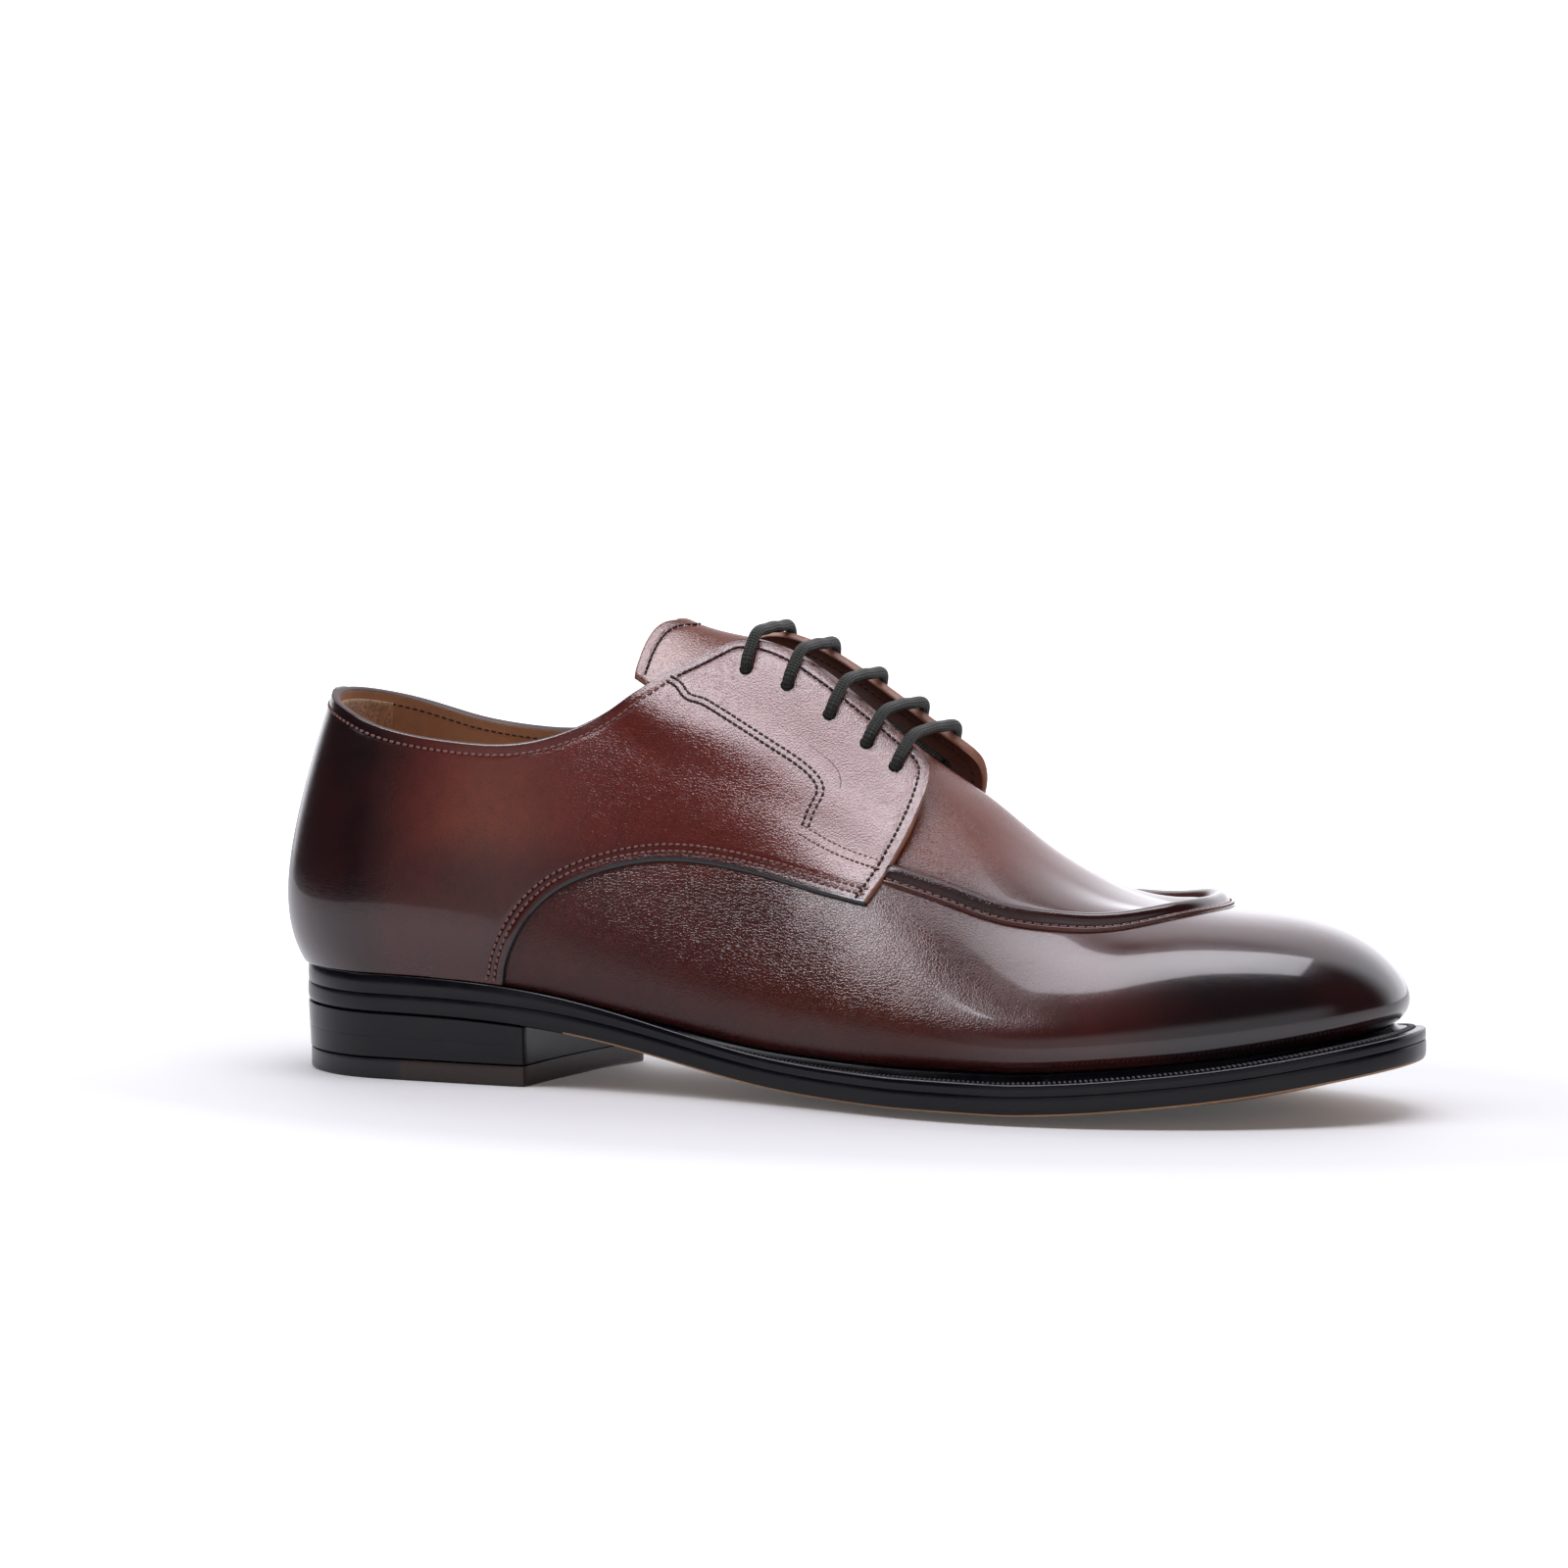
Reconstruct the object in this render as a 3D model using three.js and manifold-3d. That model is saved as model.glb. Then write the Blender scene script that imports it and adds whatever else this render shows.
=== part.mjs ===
// Apron front derby shoe, right foot, as an assembly of separate solids.
// Millimetres, +X to the toe, +Y to the inner (medial) side, +Z up, standing on z = 0.
import * as THREE from 'three';
import Module from 'manifold-3d';

const wasm = await Module();
wasm.setup();

// Driving sizes of the sole
const soleLength = 300;
const ballWidth = 100;
const heelWidth = 61.6;
const heelHeight = 17.7;
const heelLength = 72.5;
const breastSlant = 8.5;
const breastHollow = 1.6;
const topPieceThickness = 5.5;
const heelTaper = 0.9;
const toeSpring = 12.5;
const soleCamber = 2.2;
const outsoleThickness = 4.7;
const edgeRound = 0.9;
const weltThickness = 3.0;
const weltRise = 2.0;
const weltInset = 0.45;
const weltReach = 13.0;
const insoleThickness = 3.0;

// Driving sizes of the upper
const toeWelt = 8.0;
const heelWelt = 0.5;
const instepHeight = 111.5;
const toeHeight = 50.0;
const backHeight = 97.6;
const sideHeight = 86.8;
const wall = 2.2;
const quarterWall = 2.4;
const quarterStep = 1.2;
const hiddenLap = 8.0;
const outerFacingLift = 5.4;
const innerFacingLift = 8.6;
const tongueThickness = 2.0;
const apronRollWidth = 6.0;
const apronRollHeight = 2.6;
const backStripWidth = 12.0;
const backStripStep = 0.9;
const eyeletHole = 3.6;
const eyeletMargin = 9.0;
const eyeletPairs = 5;
const laceDiameter = 3.0;
const laceArch = 1.4;
const innerFacingForward = 3.0;

// Room between pieces that touch on the real shoe
const clearance = 0.3;

const clamp = (x, low, high) => Math.min(Math.max(x, low), high);
const lerp = (a, b, t) => a + (b - a) * t;
const smooth = (t) => {
  const u = clamp(t, 0, 1);
  return u * u * (3 - 2 * u);
};

// A natural cubic curve through one column of a table, over its first column
function spline(rows, key, column) {
  const xs = rows.map((row) => row[key]);
  const ys = rows.map((row) => row[column]);
  const last = xs.length - 1;
  const second = new Array(last + 1).fill(0);
  const upper = new Array(last + 1).fill(0);
  const right = new Array(last + 1).fill(0);
  for (let i = 1; i < last; i += 1) {
    const before = xs[i] - xs[i - 1];
    const after = xs[i + 1] - xs[i];
    const slope = (ys[i + 1] - ys[i]) / after - (ys[i] - ys[i - 1]) / before;
    const pivot = 2 * (before + after) - before * upper[i - 1];
    upper[i] = after / pivot;
    right[i] = (6 * slope - before * right[i - 1]) / pivot;
  }
  for (let i = last - 1; i > 0; i -= 1) second[i] = right[i] - upper[i] * second[i + 1];
  return (x) => {
    const at = clamp(x, xs[0], xs[last]);
    let i = 0;
    while (i < last - 1 && at > xs[i + 1]) i += 1;
    const span = xs[i + 1] - xs[i];
    const a = (xs[i + 1] - at) / span;
    const b = 1 - a;
    const bend = ((a ** 3 - a) * second[i] + (b ** 3 - b) * second[i + 1]) * span * span / 6;
    return a * ys[i] + b * ys[i + 1] + bend;
  };
}

function bisect(isBelow, low, high, turns = 44) {
  let a = low;
  let b = high;
  for (let i = 0; i < turns; i += 1) {
    const middle = (a + b) / 2;
    if (isBelow(middle)) a = middle;
    else b = middle;
  }
  return (a + b) / 2;
}

// Sole outline: half widths as shares of the local breadth, from heel (0) to toe (1)
const outlineRows = [
  { at: 0.00, outer: 0.487, inner: 0.487 },
  { at: 0.10, outer: 0.500, inner: 0.500 },
  { at: 0.18, outer: 0.511, inner: 0.503 },
  { at: 0.25, outer: 0.511, inner: 0.487 },
  { at: 0.35, outer: 0.470, inner: 0.376 },
  { at: 0.45, outer: 0.436, inner: 0.294 },
  { at: 0.55, outer: 0.455, inner: 0.317 },
  { at: 0.63, outer: 0.500, inner: 0.395 },
  { at: 0.70, outer: 0.510, inner: 0.450 },
  { at: 0.77, outer: 0.485, inner: 0.465 },
  { at: 0.85, outer: 0.415, inner: 0.430 },
  { at: 0.93, outer: 0.325, inner: 0.370 },
  { at: 1.00, outer: 0.260, inner: 0.330 },
];

// Sole bottom: shares of heel height and toe spring on the centre line, and of the camber
const bottomRows = [
  { at: 0.00, heel: 1.000, spring: 0.00, camber: 0.00 },
  { at: 0.08, heel: 0.972, spring: 0.00, camber: 0.00 },
  { at: 0.24, heel: 0.876, spring: 0.00, camber: 0.00 },
  { at: 0.30, heel: 0.735, spring: 0.00, camber: 0.10 },
  { at: 0.38, heel: 0.463, spring: 0.00, camber: 0.30 },
  { at: 0.46, heel: 0.186, spring: 0.00, camber: 0.60 },
  { at: 0.54, heel: 0.045, spring: 0.00, camber: 0.86 },
  { at: 0.60, heel: 0.000, spring: 0.00, camber: 1.00 },
  { at: 0.70, heel: 0.000, spring: 0.00, camber: 1.00 },
  { at: 0.80, heel: 0.000, spring: 0.17, camber: 1.00 },
  { at: 0.90, heel: 0.000, spring: 0.50, camber: 0.82 },
  { at: 1.00, heel: 0.000, spring: 1.00, camber: 0.55 },
];

// Welt: shares of its thickness and of the rise towards the upper
const weltRows = [
  { at: 0.00, thick: 1.65, rise: 0.0 },
  { at: 0.22, thick: 1.55, rise: 0.0 },
  { at: 0.36, thick: 1.10, rise: 0.1 },
  { at: 0.50, thick: 1.00, rise: 0.8 },
  { at: 0.60, thick: 1.00, rise: 1.0 },
  { at: 1.00, thick: 1.00, rise: 1.0 },
];

// Feather line, where the upper meets the welt: half widths as shares of the local breadth
const featherRows = [
  { at: 0.00, outer: 0.471, inner: 0.471 },
  { at: 0.10, outer: 0.481, inner: 0.481 },
  { at: 0.20, outer: 0.487, inner: 0.476 },
  { at: 0.30, outer: 0.463, inner: 0.408 },
  { at: 0.40, outer: 0.404, inner: 0.287 },
  { at: 0.50, outer: 0.390, inner: 0.254 },
  { at: 0.60, outer: 0.425, inner: 0.320 },
  { at: 0.70, outer: 0.455, inner: 0.395 },
  { at: 0.78, outer: 0.430, inner: 0.410 },
  { at: 0.86, outer: 0.370, inner: 0.390 },
  { at: 0.93, outer: 0.305, inner: 0.350 },
  { at: 1.00, outer: 0.250, inner: 0.310 },
];

// Roundness of the sections: cross towards the ridge, fullness of the outer and inner slope
const sectionRows = [
  { at: 0.00, cross: 1.60, outerFull: 1.80, innerFull: 1.80 },
  { at: 0.10, cross: 1.60, outerFull: 1.80, innerFull: 1.80 },
  { at: 0.20, cross: 1.60, outerFull: 1.80, innerFull: 1.80 },
  { at: 0.30, cross: 1.65, outerFull: 1.70, innerFull: 1.80 },
  { at: 0.40, cross: 1.70, outerFull: 1.60, innerFull: 1.80 },
  { at: 0.50, cross: 1.75, outerFull: 1.50, innerFull: 1.80 },
  { at: 0.60, cross: 1.85, outerFull: 1.45, innerFull: 1.75 },
  { at: 0.70, cross: 2.00, outerFull: 1.50, innerFull: 1.80 },
  { at: 0.78, cross: 2.30, outerFull: 1.70, innerFull: 1.90 },
  { at: 0.86, cross: 2.60, outerFull: 2.00, innerFull: 2.10 },
  { at: 0.93, cross: 2.75, outerFull: 2.30, innerFull: 2.30 },
  { at: 1.00, cross: 2.75, outerFull: 2.40, innerFull: 2.40 },
];

// Swell of the wall over the feather line: shares of ball width, and of it the height of the most
const swellRows = [
  { at: 0.00, outer: 0.055, inner: 0.055, height: 0.235 },
  { at: 0.10, outer: 0.050, inner: 0.050, height: 0.225 },
  { at: 0.20, outer: 0.042, inner: 0.045, height: 0.210 },
  { at: 0.30, outer: 0.042, inner: 0.050, height: 0.170 },
  { at: 0.40, outer: 0.050, inner: 0.075, height: 0.140 },
  { at: 0.50, outer: 0.055, inner: 0.080, height: 0.120 },
  { at: 0.60, outer: 0.055, inner: 0.060, height: 0.105 },
  { at: 0.70, outer: 0.050, inner: 0.046, height: 0.095 },
  { at: 0.78, outer: 0.042, inner: 0.040, height: 0.090 },
  { at: 0.86, outer: 0.036, inner: 0.036, height: 0.085 },
  { at: 0.93, outer: 0.040, inner: 0.040, height: 0.080 },
  { at: 1.00, outer: 0.046, inner: 0.046, height: 0.080 },
];

// Crown of the last: shares of instep and toe height, and of ball width to the inner side
const crownRows = [
  { at: 0.067, instep: 1.260, toe: 0.000, ridge: 0.000 },
  { at: 0.204, instep: 1.275, toe: 0.000, ridge: 0.000 },
  { at: 0.290, instep: 1.165, toe: 0.000, ridge: 0.020 },
  { at: 0.362, instep: 1.052, toe: 0.000, ridge: 0.050 },
  { at: 0.444, instep: 1.000, toe: 0.000, ridge: 0.070 },
  { at: 0.513, instep: 0.888, toe: 0.000, ridge: 0.075 },
  { at: 0.547, instep: 0.819, toe: 0.000, ridge: 0.075 },
  { at: 0.588, instep: 0.744, toe: 0.000, ridge: 0.075 },
  { at: 0.633, instep: 0.600, toe: 0.160, ridge: 0.070 },
  { at: 0.684, instep: 0.410, toe: 0.385, ridge: 0.065 },
  { at: 0.726, instep: 0.270, toe: 0.575, ridge: 0.060 },
  { at: 0.763, instep: 0.145, toe: 0.765, ridge: 0.055 },
  { at: 0.805, instep: 0.050, toe: 0.920, ridge: 0.050 },
  { at: 0.839, instep: 0.000, toe: 0.985, ridge: 0.045 },
];

// Collar: shares of the back height and of the side height, over the share of the last
const collarRows = [
  { at: 0.000, back: 1.000, side: 0.000 },
  { at: 0.026, back: 0.800, side: 0.203 },
  { at: 0.060, back: 0.560, side: 0.444 },
  { at: 0.098, back: 0.310, side: 0.692 },
  { at: 0.136, back: 0.110, side: 0.894 },
  { at: 0.180, back: 0.000, side: 1.003 },
  { at: 0.221, back: 0.000, side: 1.000 },
  { at: 0.255, back: 0.000, side: 1.018 },
  { at: 0.286, back: 0.000, side: 1.056 },
  { at: 0.317, back: 0.000, side: 1.113 },
  { at: 0.358, back: 0.000, side: 1.205 },
];

// Lower edge of the quarter over the vamp: share of the last, and of the side height
const seamRows = [
  { at: 0.225, up: 0.300 },
  { at: 0.240, up: 0.423 },
  { at: 0.263, up: 0.540 },
  { at: 0.295, up: 0.616 },
  { at: 0.335, up: 0.663 },
  { at: 0.376, up: 0.686 },
  { at: 0.419, up: 0.684 },
  { at: 0.490, up: 0.648 },
  { at: 0.533, up: 0.617 },
  { at: 0.573, up: 0.592 },
];

// Free edge of the facing from its lower corner round to its upper corner:
// share of the last, and share of the way from feather to ridge
const facingRows = [
  { step: 0.00, at: 0.5730, up: 0.436 },
  { step: 0.14, at: 0.5840, up: 0.520 },
  { step: 0.28, at: 0.5915, up: 0.610 },
  { step: 0.42, at: 0.5945, up: 0.700 },
  { step: 0.54, at: 0.5920, up: 0.780 },
  { step: 0.62, at: 0.5830, up: 0.825 },
  { step: 0.70, at: 0.5600, up: 0.842 },
  { step: 0.86, at: 0.4800, up: 0.842 },
  { step: 0.96, at: 0.4250, up: 0.842 },
  { step: 1.00, at: 0.4080, up: 0.828 },
];

const HALF_TURN = Math.PI;
const lastStart = heelWelt;
const lastLength = soleLength - heelWelt - toeWelt;
const heelRound = 0.104 * soleLength;
const toeRound = 0.14 * soleLength;
const toeSquareness = 2.3;
const lastHeelRound = 0.103 * lastLength;
const lastToeRound = 0.151 * lastLength;
const lastToeSquareness = 2.25;
const toeSwing = 0.03 * ballWidth;
const heelFan = lastStart + 0.122 * lastLength;
const toeFan = lastStart + 0.794 * lastLength;

const outlineOuter = spline(outlineRows, 'at', 'outer');
const outlineInner = spline(outlineRows, 'at', 'inner');
const bottomHeel = spline(bottomRows, 'at', 'heel');
const bottomSpring = spline(bottomRows, 'at', 'spring');
const bottomCamber = spline(bottomRows, 'at', 'camber');
const weltThick = spline(weltRows, 'at', 'thick');
const weltSlope = spline(weltRows, 'at', 'rise');
const featherOuter = spline(featherRows, 'at', 'outer');
const featherInner = spline(featherRows, 'at', 'inner');
const sectionCross = spline(sectionRows, 'at', 'cross');
const sectionOuter = spline(sectionRows, 'at', 'outerFull');
const sectionInner = spline(sectionRows, 'at', 'innerFull');
const swellOuter = spline(swellRows, 'at', 'outer');
const swellInner = spline(swellRows, 'at', 'inner');
const swellHeight = spline(swellRows, 'at', 'height');
const crownInstep = spline(crownRows, 'at', 'instep');
const crownToe = spline(crownRows, 'at', 'toe');
const crownRidge = spline(crownRows, 'at', 'ridge');
const collarBack = spline(collarRows, 'at', 'back');
const collarSide = spline(collarRows, 'at', 'side');
const seamUp = spline(seamRows, 'at', 'up');
const facingAt = spline(facingRows, 'step', 'at');
const facingUp = spline(facingRows, 'step', 'up');

const breadth = (at) => lerp(heelWidth, ballWidth, smooth((at - 0.25) / 0.35));
const swing = (at) => toeSwing * clamp((at - 0.7) / 0.3, 0, 1) ** 2;
const lastShare = (x) => (x - lastStart) / lastLength;

// How far the half width is drawn in by the round heel and the toe
function endRound(x, start, end, heelRadius, toeRadius, squareness) {
  const heel = clamp((x - start) / heelRadius, 0, 1);
  const toe = clamp((end - x) / toeRadius, 0, 1);
  const heelPart = Math.sqrt(1 - (1 - heel) ** 2);
  return heelPart * (1 - (1 - toe) ** squareness) ** (1 / squareness);
}

// Sole outline at an angle that runs from the heel round the outer side to the toe and back
function soleOutline(angle, inset = 0) {
  const x = soleLength * (1 - Math.cos(angle)) / 2;
  const at = x / soleLength;
  const round = endRound(x, 0, soleLength, heelRound, toeRound, toeSquareness);
  const isOuter = angle <= HALF_TURN;
  const half = breadth(at) * round * (isOuter ? -outlineOuter(at) : outlineInner(at));
  const edge = new THREE.Vector2(x, half + swing(at));
  const spineX = clamp(x, heelRound, soleLength - toeRound);
  const centre = new THREE.Vector2(spineX, swing(spineX / soleLength));
  const reach = edge.distanceTo(centre);
  return { centre, edge: edge.lerp(centre, clamp(inset / reach, 0, 1)), reach };
}

// Height of the sole's bottom at a length and a share of the half width
function soleBottom(x, side) {
  const at = x / soleLength;
  const centre = Math.max(0, heelHeight * bottomHeel(at) + toeSpring * bottomSpring(at));
  return centre + soleCamber * Math.max(0, bottomCamber(at)) * smooth((side - 0.4) / 0.6);
}

const weltUnder = (x, side) => soleBottom(x, side) + outsoleThickness + clearance;
const weltTop = (x) => weltUnder(x, 1) + weltThickness * weltThick(x / soleLength);
const featherHeight = (x) => weltTop(x) + weltRise * weltSlope(x / soleLength) + clearance;

const crownHeight = (x) => {
  const at = lastShare(x);
  return instepHeight * crownInstep(at) + toeHeight * crownToe(at);
};
const crownSide = (x) => ballWidth * crownRidge(lastShare(x));

const angleAt = (x) => Math.acos(clamp(1 - 2 * lastShare(x), -1, 1));

function featherPoint(angle) {
  const x = lastStart + lastLength * (1 - Math.cos(angle)) / 2;
  const at = lastShare(x);
  const end = lastStart + lastLength;
  const round = endRound(x, lastStart, end, lastHeelRound, lastToeRound, lastToeSquareness);
  const isOuter = angle <= HALF_TURN;
  const half = breadth(at) * round * (isOuter ? -featherOuter(at) : featherInner(at));
  return new THREE.Vector3(x, half + swing(at), featherHeight(x));
}

// The last's surface: angle as above, up = 0 on the feather line and 1 on the ridge
function lastPoint(turned, up) {
  const angle = (turned + 2 * Math.PI) % (2 * Math.PI);
  const foot = featherPoint(angle);
  const at = lastShare(foot.x);
  const isOuter = angle <= HALF_TURN;
  const spineX = clamp(foot.x, heelFan, toeFan);
  const spineY = crownSide(spineX);
  const rise = crownHeight(spineX) - foot.z;
  const full = isOuter ? sectionOuter(at) : sectionInner(at);
  const turn = clamp(up, 0, 1) * Math.PI / 2;
  const out = Math.max(0, Math.cos(turn)) ** (2 / sectionCross(at));
  const high = rise * Math.sin(turn) ** (2 / full);
  const dx = foot.x - spineX;
  const dy = foot.y - spineY;
  const reach = Math.hypot(dx, dy) + 1e-9;
  const swell = ballWidth * (isOuter ? swellOuter(at) : swellInner(at));
  const swellAt = high / (ballWidth * swellHeight(at));
  const push = swell * swellAt * Math.exp(1 - swellAt) * Math.min(1, out * 3);
  const far = reach * out + push;
  const fall = foot.x > toeFan ? crownFall(toeFan) * dx * out * (1 - out) ** 2 : 0;
  return new THREE.Vector3(spineX + dx / reach * far, spineY + dy / reach * far, foot.z + high + fall);
}

const SLIGHT = 0.001;
const crownFall = (x) => (crownHeight(x + SLIGHT) - crownHeight(x - SLIGHT)) / (2 * SLIGHT);

function lastNormal(angle, up) {
  if (up > 0.995) {
    const x = clamp(featherPoint(angle).x, heelFan, toeFan);
    return new THREE.Vector3(-crownFall(x), 0, 1).normalize();
  }
  const along = lastPoint(angle + SLIGHT, up).sub(lastPoint(angle - SLIGHT, up));
  const across = lastPoint(angle, Math.min(up + SLIGHT, 1)).sub(lastPoint(angle, Math.max(up - SLIGHT, 0)));
  return along.cross(across).normalize();
}

// A point off the last. The bottom row lies on the feather height, over the welt.
function shellPoint(angle, up, offset) {
  const point = lastPoint(angle, up).addScaledVector(lastNormal(angle, up), offset);
  const floor = featherHeight(clamp(point.x, lastStart, lastStart + lastLength));
  if (up === 0) point.z = floor;
  point.z = Math.max(point.z, floor);
  return point;
}

// Share of the way up for a height on the side of the last
function upAt(angle, height) {
  const foot = featherPoint(angle);
  const rise = crownHeight(clamp(foot.x, heelFan, toeFan)) - foot.z;
  const at = lastShare(foot.x);
  const full = angle <= HALF_TURN ? sectionOuter(at) : sectionInner(at);
  return Math.asin(clamp((height - foot.z) / rise, 0, 1) ** (full / 2)) * 2 / Math.PI;
}

const weldDistance = 0.003;
const shortestEdge = 0.03;

// Closed meshes from grids of points
class Faces {
  constructor() {
    this.positions = [];
    this.triangles = [];
    this.lookup = new Map();
  }

  // Points closer than the weld distance are one vertex
  vertex(point) {
    const cell = point.toArray().map((value) => Math.floor(value / weldDistance));
    for (const dx of [0, -1, 1]) {
      for (const dy of [0, -1, 1]) {
        for (const dz of [0, -1, 1]) {
          const found = this.lookup.get(`${cell[0] + dx} ${cell[1] + dy} ${cell[2] + dz}`);
          if (found !== undefined) return found;
        }
      }
    }
    const id = this.positions.length / 3;
    this.lookup.set(cell.join(' '), id);
    this.positions.push(point.x, point.y, point.z);
    return id;
  }

  triangle(a, b, c) {
    const ids = [this.vertex(a), this.vertex(b), this.vertex(c)];
    if (new Set(ids).size === 3) this.triangles.push(...ids);
  }

  quad(a, b, c, d) {
    const direct = a.distanceToSquared(c) <= b.distanceToSquared(d);
    if (direct) {
      this.triangle(a, b, c);
      this.triangle(a, c, d);
    } else {
      this.triangle(a, b, d);
      this.triangle(b, c, d);
    }
  }

  solid() {
    return new wasm.Manifold(new wasm.Mesh({
      numProp: 3,
      vertProperties: new Float32Array(this.positions),
      triVerts: new Uint32Array(this.triangles),
    }));
  }
}

// A wall between an outer and an inner grid. Where isZipped says so, its last row needs no rim,
// because the other half of the shoe meets it there.
function wallSolid(outer, inner, isZipped = () => false) {
  const faces = new Faces();
  const columns = outer.length;
  const rows = outer[0].length;
  for (let i = 0; i < columns - 1; i += 1) {
    for (let j = 0; j < rows - 1; j += 1) {
      faces.quad(outer[i][j], outer[i + 1][j], outer[i + 1][j + 1], outer[i][j + 1]);
      faces.quad(inner[i + 1][j], inner[i][j], inner[i][j + 1], inner[i + 1][j + 1]);
    }
    const top = rows - 1;
    faces.quad(outer[i + 1][0], outer[i][0], inner[i][0], inner[i + 1][0]);
    if (!isZipped(i)) faces.quad(outer[i][top], outer[i + 1][top], inner[i + 1][top], inner[i][top]);
  }
  for (let j = 0; j < rows - 1; j += 1) {
    const end = columns - 1;
    faces.quad(outer[0][j], outer[0][j + 1], inner[0][j + 1], inner[0][j]);
    faces.quad(outer[end][j + 1], outer[end][j], inner[end][j], inner[end][j + 1]);
  }
  return faces.solid();
}

// A profile for each angle round the sole. A closed profile makes a ring.
function roundSolid(profileAt, steps, isRing = false) {
  const faces = new Faces();
  const profiles = [];
  for (let i = 0; i < steps; i += 1) profiles.push(profileAt(2 * Math.PI * i / steps));
  const count = profiles[0].length;
  for (let i = 0; i < steps; i += 1) {
    const here = profiles[i];
    const next = profiles[(i + 1) % steps];
    for (let k = 0; k < (isRing ? count : count - 1); k += 1) {
      const k2 = (k + 1) % count;
      faces.quad(here[k], next[k], next[k2], here[k2]);
    }
  }
  return faces.solid();
}

// Cuts leave edges a few microns long. Each is drawn together where its ends share two neighbours.
function withoutShortEdges(positions, triangles) {
  const near = new Map();
  let live = triangles;
  const point = (id) => new THREE.Vector3().fromArray(positions, id * 3);
  for (let turn = 0; turn < 12; turn += 1) {
    near.clear();
    for (const [a, b, c] of live) {
      for (const [from, to] of [[a, b], [b, c], [c, a]]) {
        if (!near.has(from)) near.set(from, new Set());
        if (!near.has(to)) near.set(to, new Set());
        near.get(from).add(to);
        near.get(to).add(from);
      }
    }
    const moved = new Map();
    const busy = new Set();
    for (const [from, others] of near) {
      for (const to of others) {
        if (from > to || busy.has(from) || busy.has(to)) continue;
        if (point(from).distanceTo(point(to)) > shortestEdge) continue;
        const shared = [...near.get(to)].filter((id) => others.has(id));
        if (shared.length !== 2) continue;
        moved.set(to, from);
        for (const id of [from, to, ...others, ...near.get(to)]) busy.add(id);
      }
    }
    if (moved.size === 0) break;
    live = live.map((ids) => ids.map((id) => moved.get(id) ?? id)).filter((ids) => new Set(ids).size === 3);
  }
  return live;
}

function geometryOf(solid) {
  const mesh = solid.getMesh();
  const triangles = [];
  for (let i = 0; i < mesh.triVerts.length; i += 3) triangles.push([...mesh.triVerts.slice(i, i + 3)]);
  const geometry = new THREE.BufferGeometry();
  geometry.setAttribute('position', new THREE.BufferAttribute(mesh.vertProperties, 3));
  geometry.setIndex(withoutShortEdges(mesh.vertProperties, triangles).flat());
  geometry.computeVertexNormals();
  return geometry;
}

function solidOf(geometry) {
  const faces = new Faces();
  const flat = (geometry.index ? geometry.toNonIndexed() : geometry).getAttribute('position');
  const corner = (i) => new THREE.Vector3().fromBufferAttribute(flat, i);
  for (let i = 0; i < flat.count; i += 3) faces.triangle(corner(i), corner(i + 1), corner(i + 2));
  return faces.solid();
}

const soleSteps = 60;
const onSole = (place, share, z) => {
  const spot = place.centre.clone().lerp(place.edge, share);
  return new THREE.Vector3(spot.x, spot.y, z(spot.x));
};

// Outsole: cambered bottom with a flat tread spot, rounded lower edge, uniform thickness
function outsole() {
  const rings = [0, 0.4, 0.6, 0.8];
  return roundSolid((angle) => {
    const edge = soleOutline(angle);
    const bottomEdge = soleOutline(angle, edgeRound);
    const profile = rings.map((share) => onSole(edge, share, (x) => soleBottom(x, share)));
    profile.push(onSole(bottomEdge, 1, (x) => soleBottom(x, 1)));
    profile.push(onSole(edge, 1, (x) => soleBottom(x, 1) + edgeRound));
    profile.push(onSole(edge, 1, (x) => soleBottom(x, 1) + outsoleThickness));
    const topRings = [...rings].reverse();
    for (const share of topRings) {
      profile.push(onSole(edge, share, (x) => soleBottom(x, share) + outsoleThickness));
    }
    return profile;
  }, soleSteps);
}

// Welt: a strip round the edge that rises towards the upper
function welt() {
  return roundSolid((angle) => {
    const outer = soleOutline(angle, weltInset);
    const inner = soleOutline(angle, weltInset + weltReach);
    const middle = soleOutline(angle, weltInset + 0.7 * weltReach);
    const foot = featherPoint(angle);
    const under = (place) => (x) => {
      const share = place.edge.distanceTo(place.centre) / place.reach;
      return weltUnder(x, share);
    };
    const seat = (x) => featherHeight(x) - clearance;
    const footPlace = { centre: outer.centre, edge: new THREE.Vector2(foot.x, foot.y) };
    return [
      onSole(inner, 1, under(inner)),
      onSole(middle, 1, under(middle)),
      onSole(outer, 1, (x) => weltUnder(x, 1)),
      onSole(outer, 1, weltTop),
      onSole(footPlace, 1, seat),
      onSole(inner, 1, seat),
    ];
  }, soleSteps, true);
}

// Heel: stacked lifts with a slanted, slightly hollow breast, and a separate top piece
function heelBlock(low, high) {
  return roundSolid((angle) => {
    const foot = soleOutline(angle, heelTaper);
    const head = soleOutline(angle);
    const lowZ = () => low;
    return [
      onSole(foot, 0, lowZ),
      onSole(foot, 1, lowZ),
      onSole(head, 1, high),
      onSole(head, 0, high),
    ];
  }, soleSteps);
}

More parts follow.
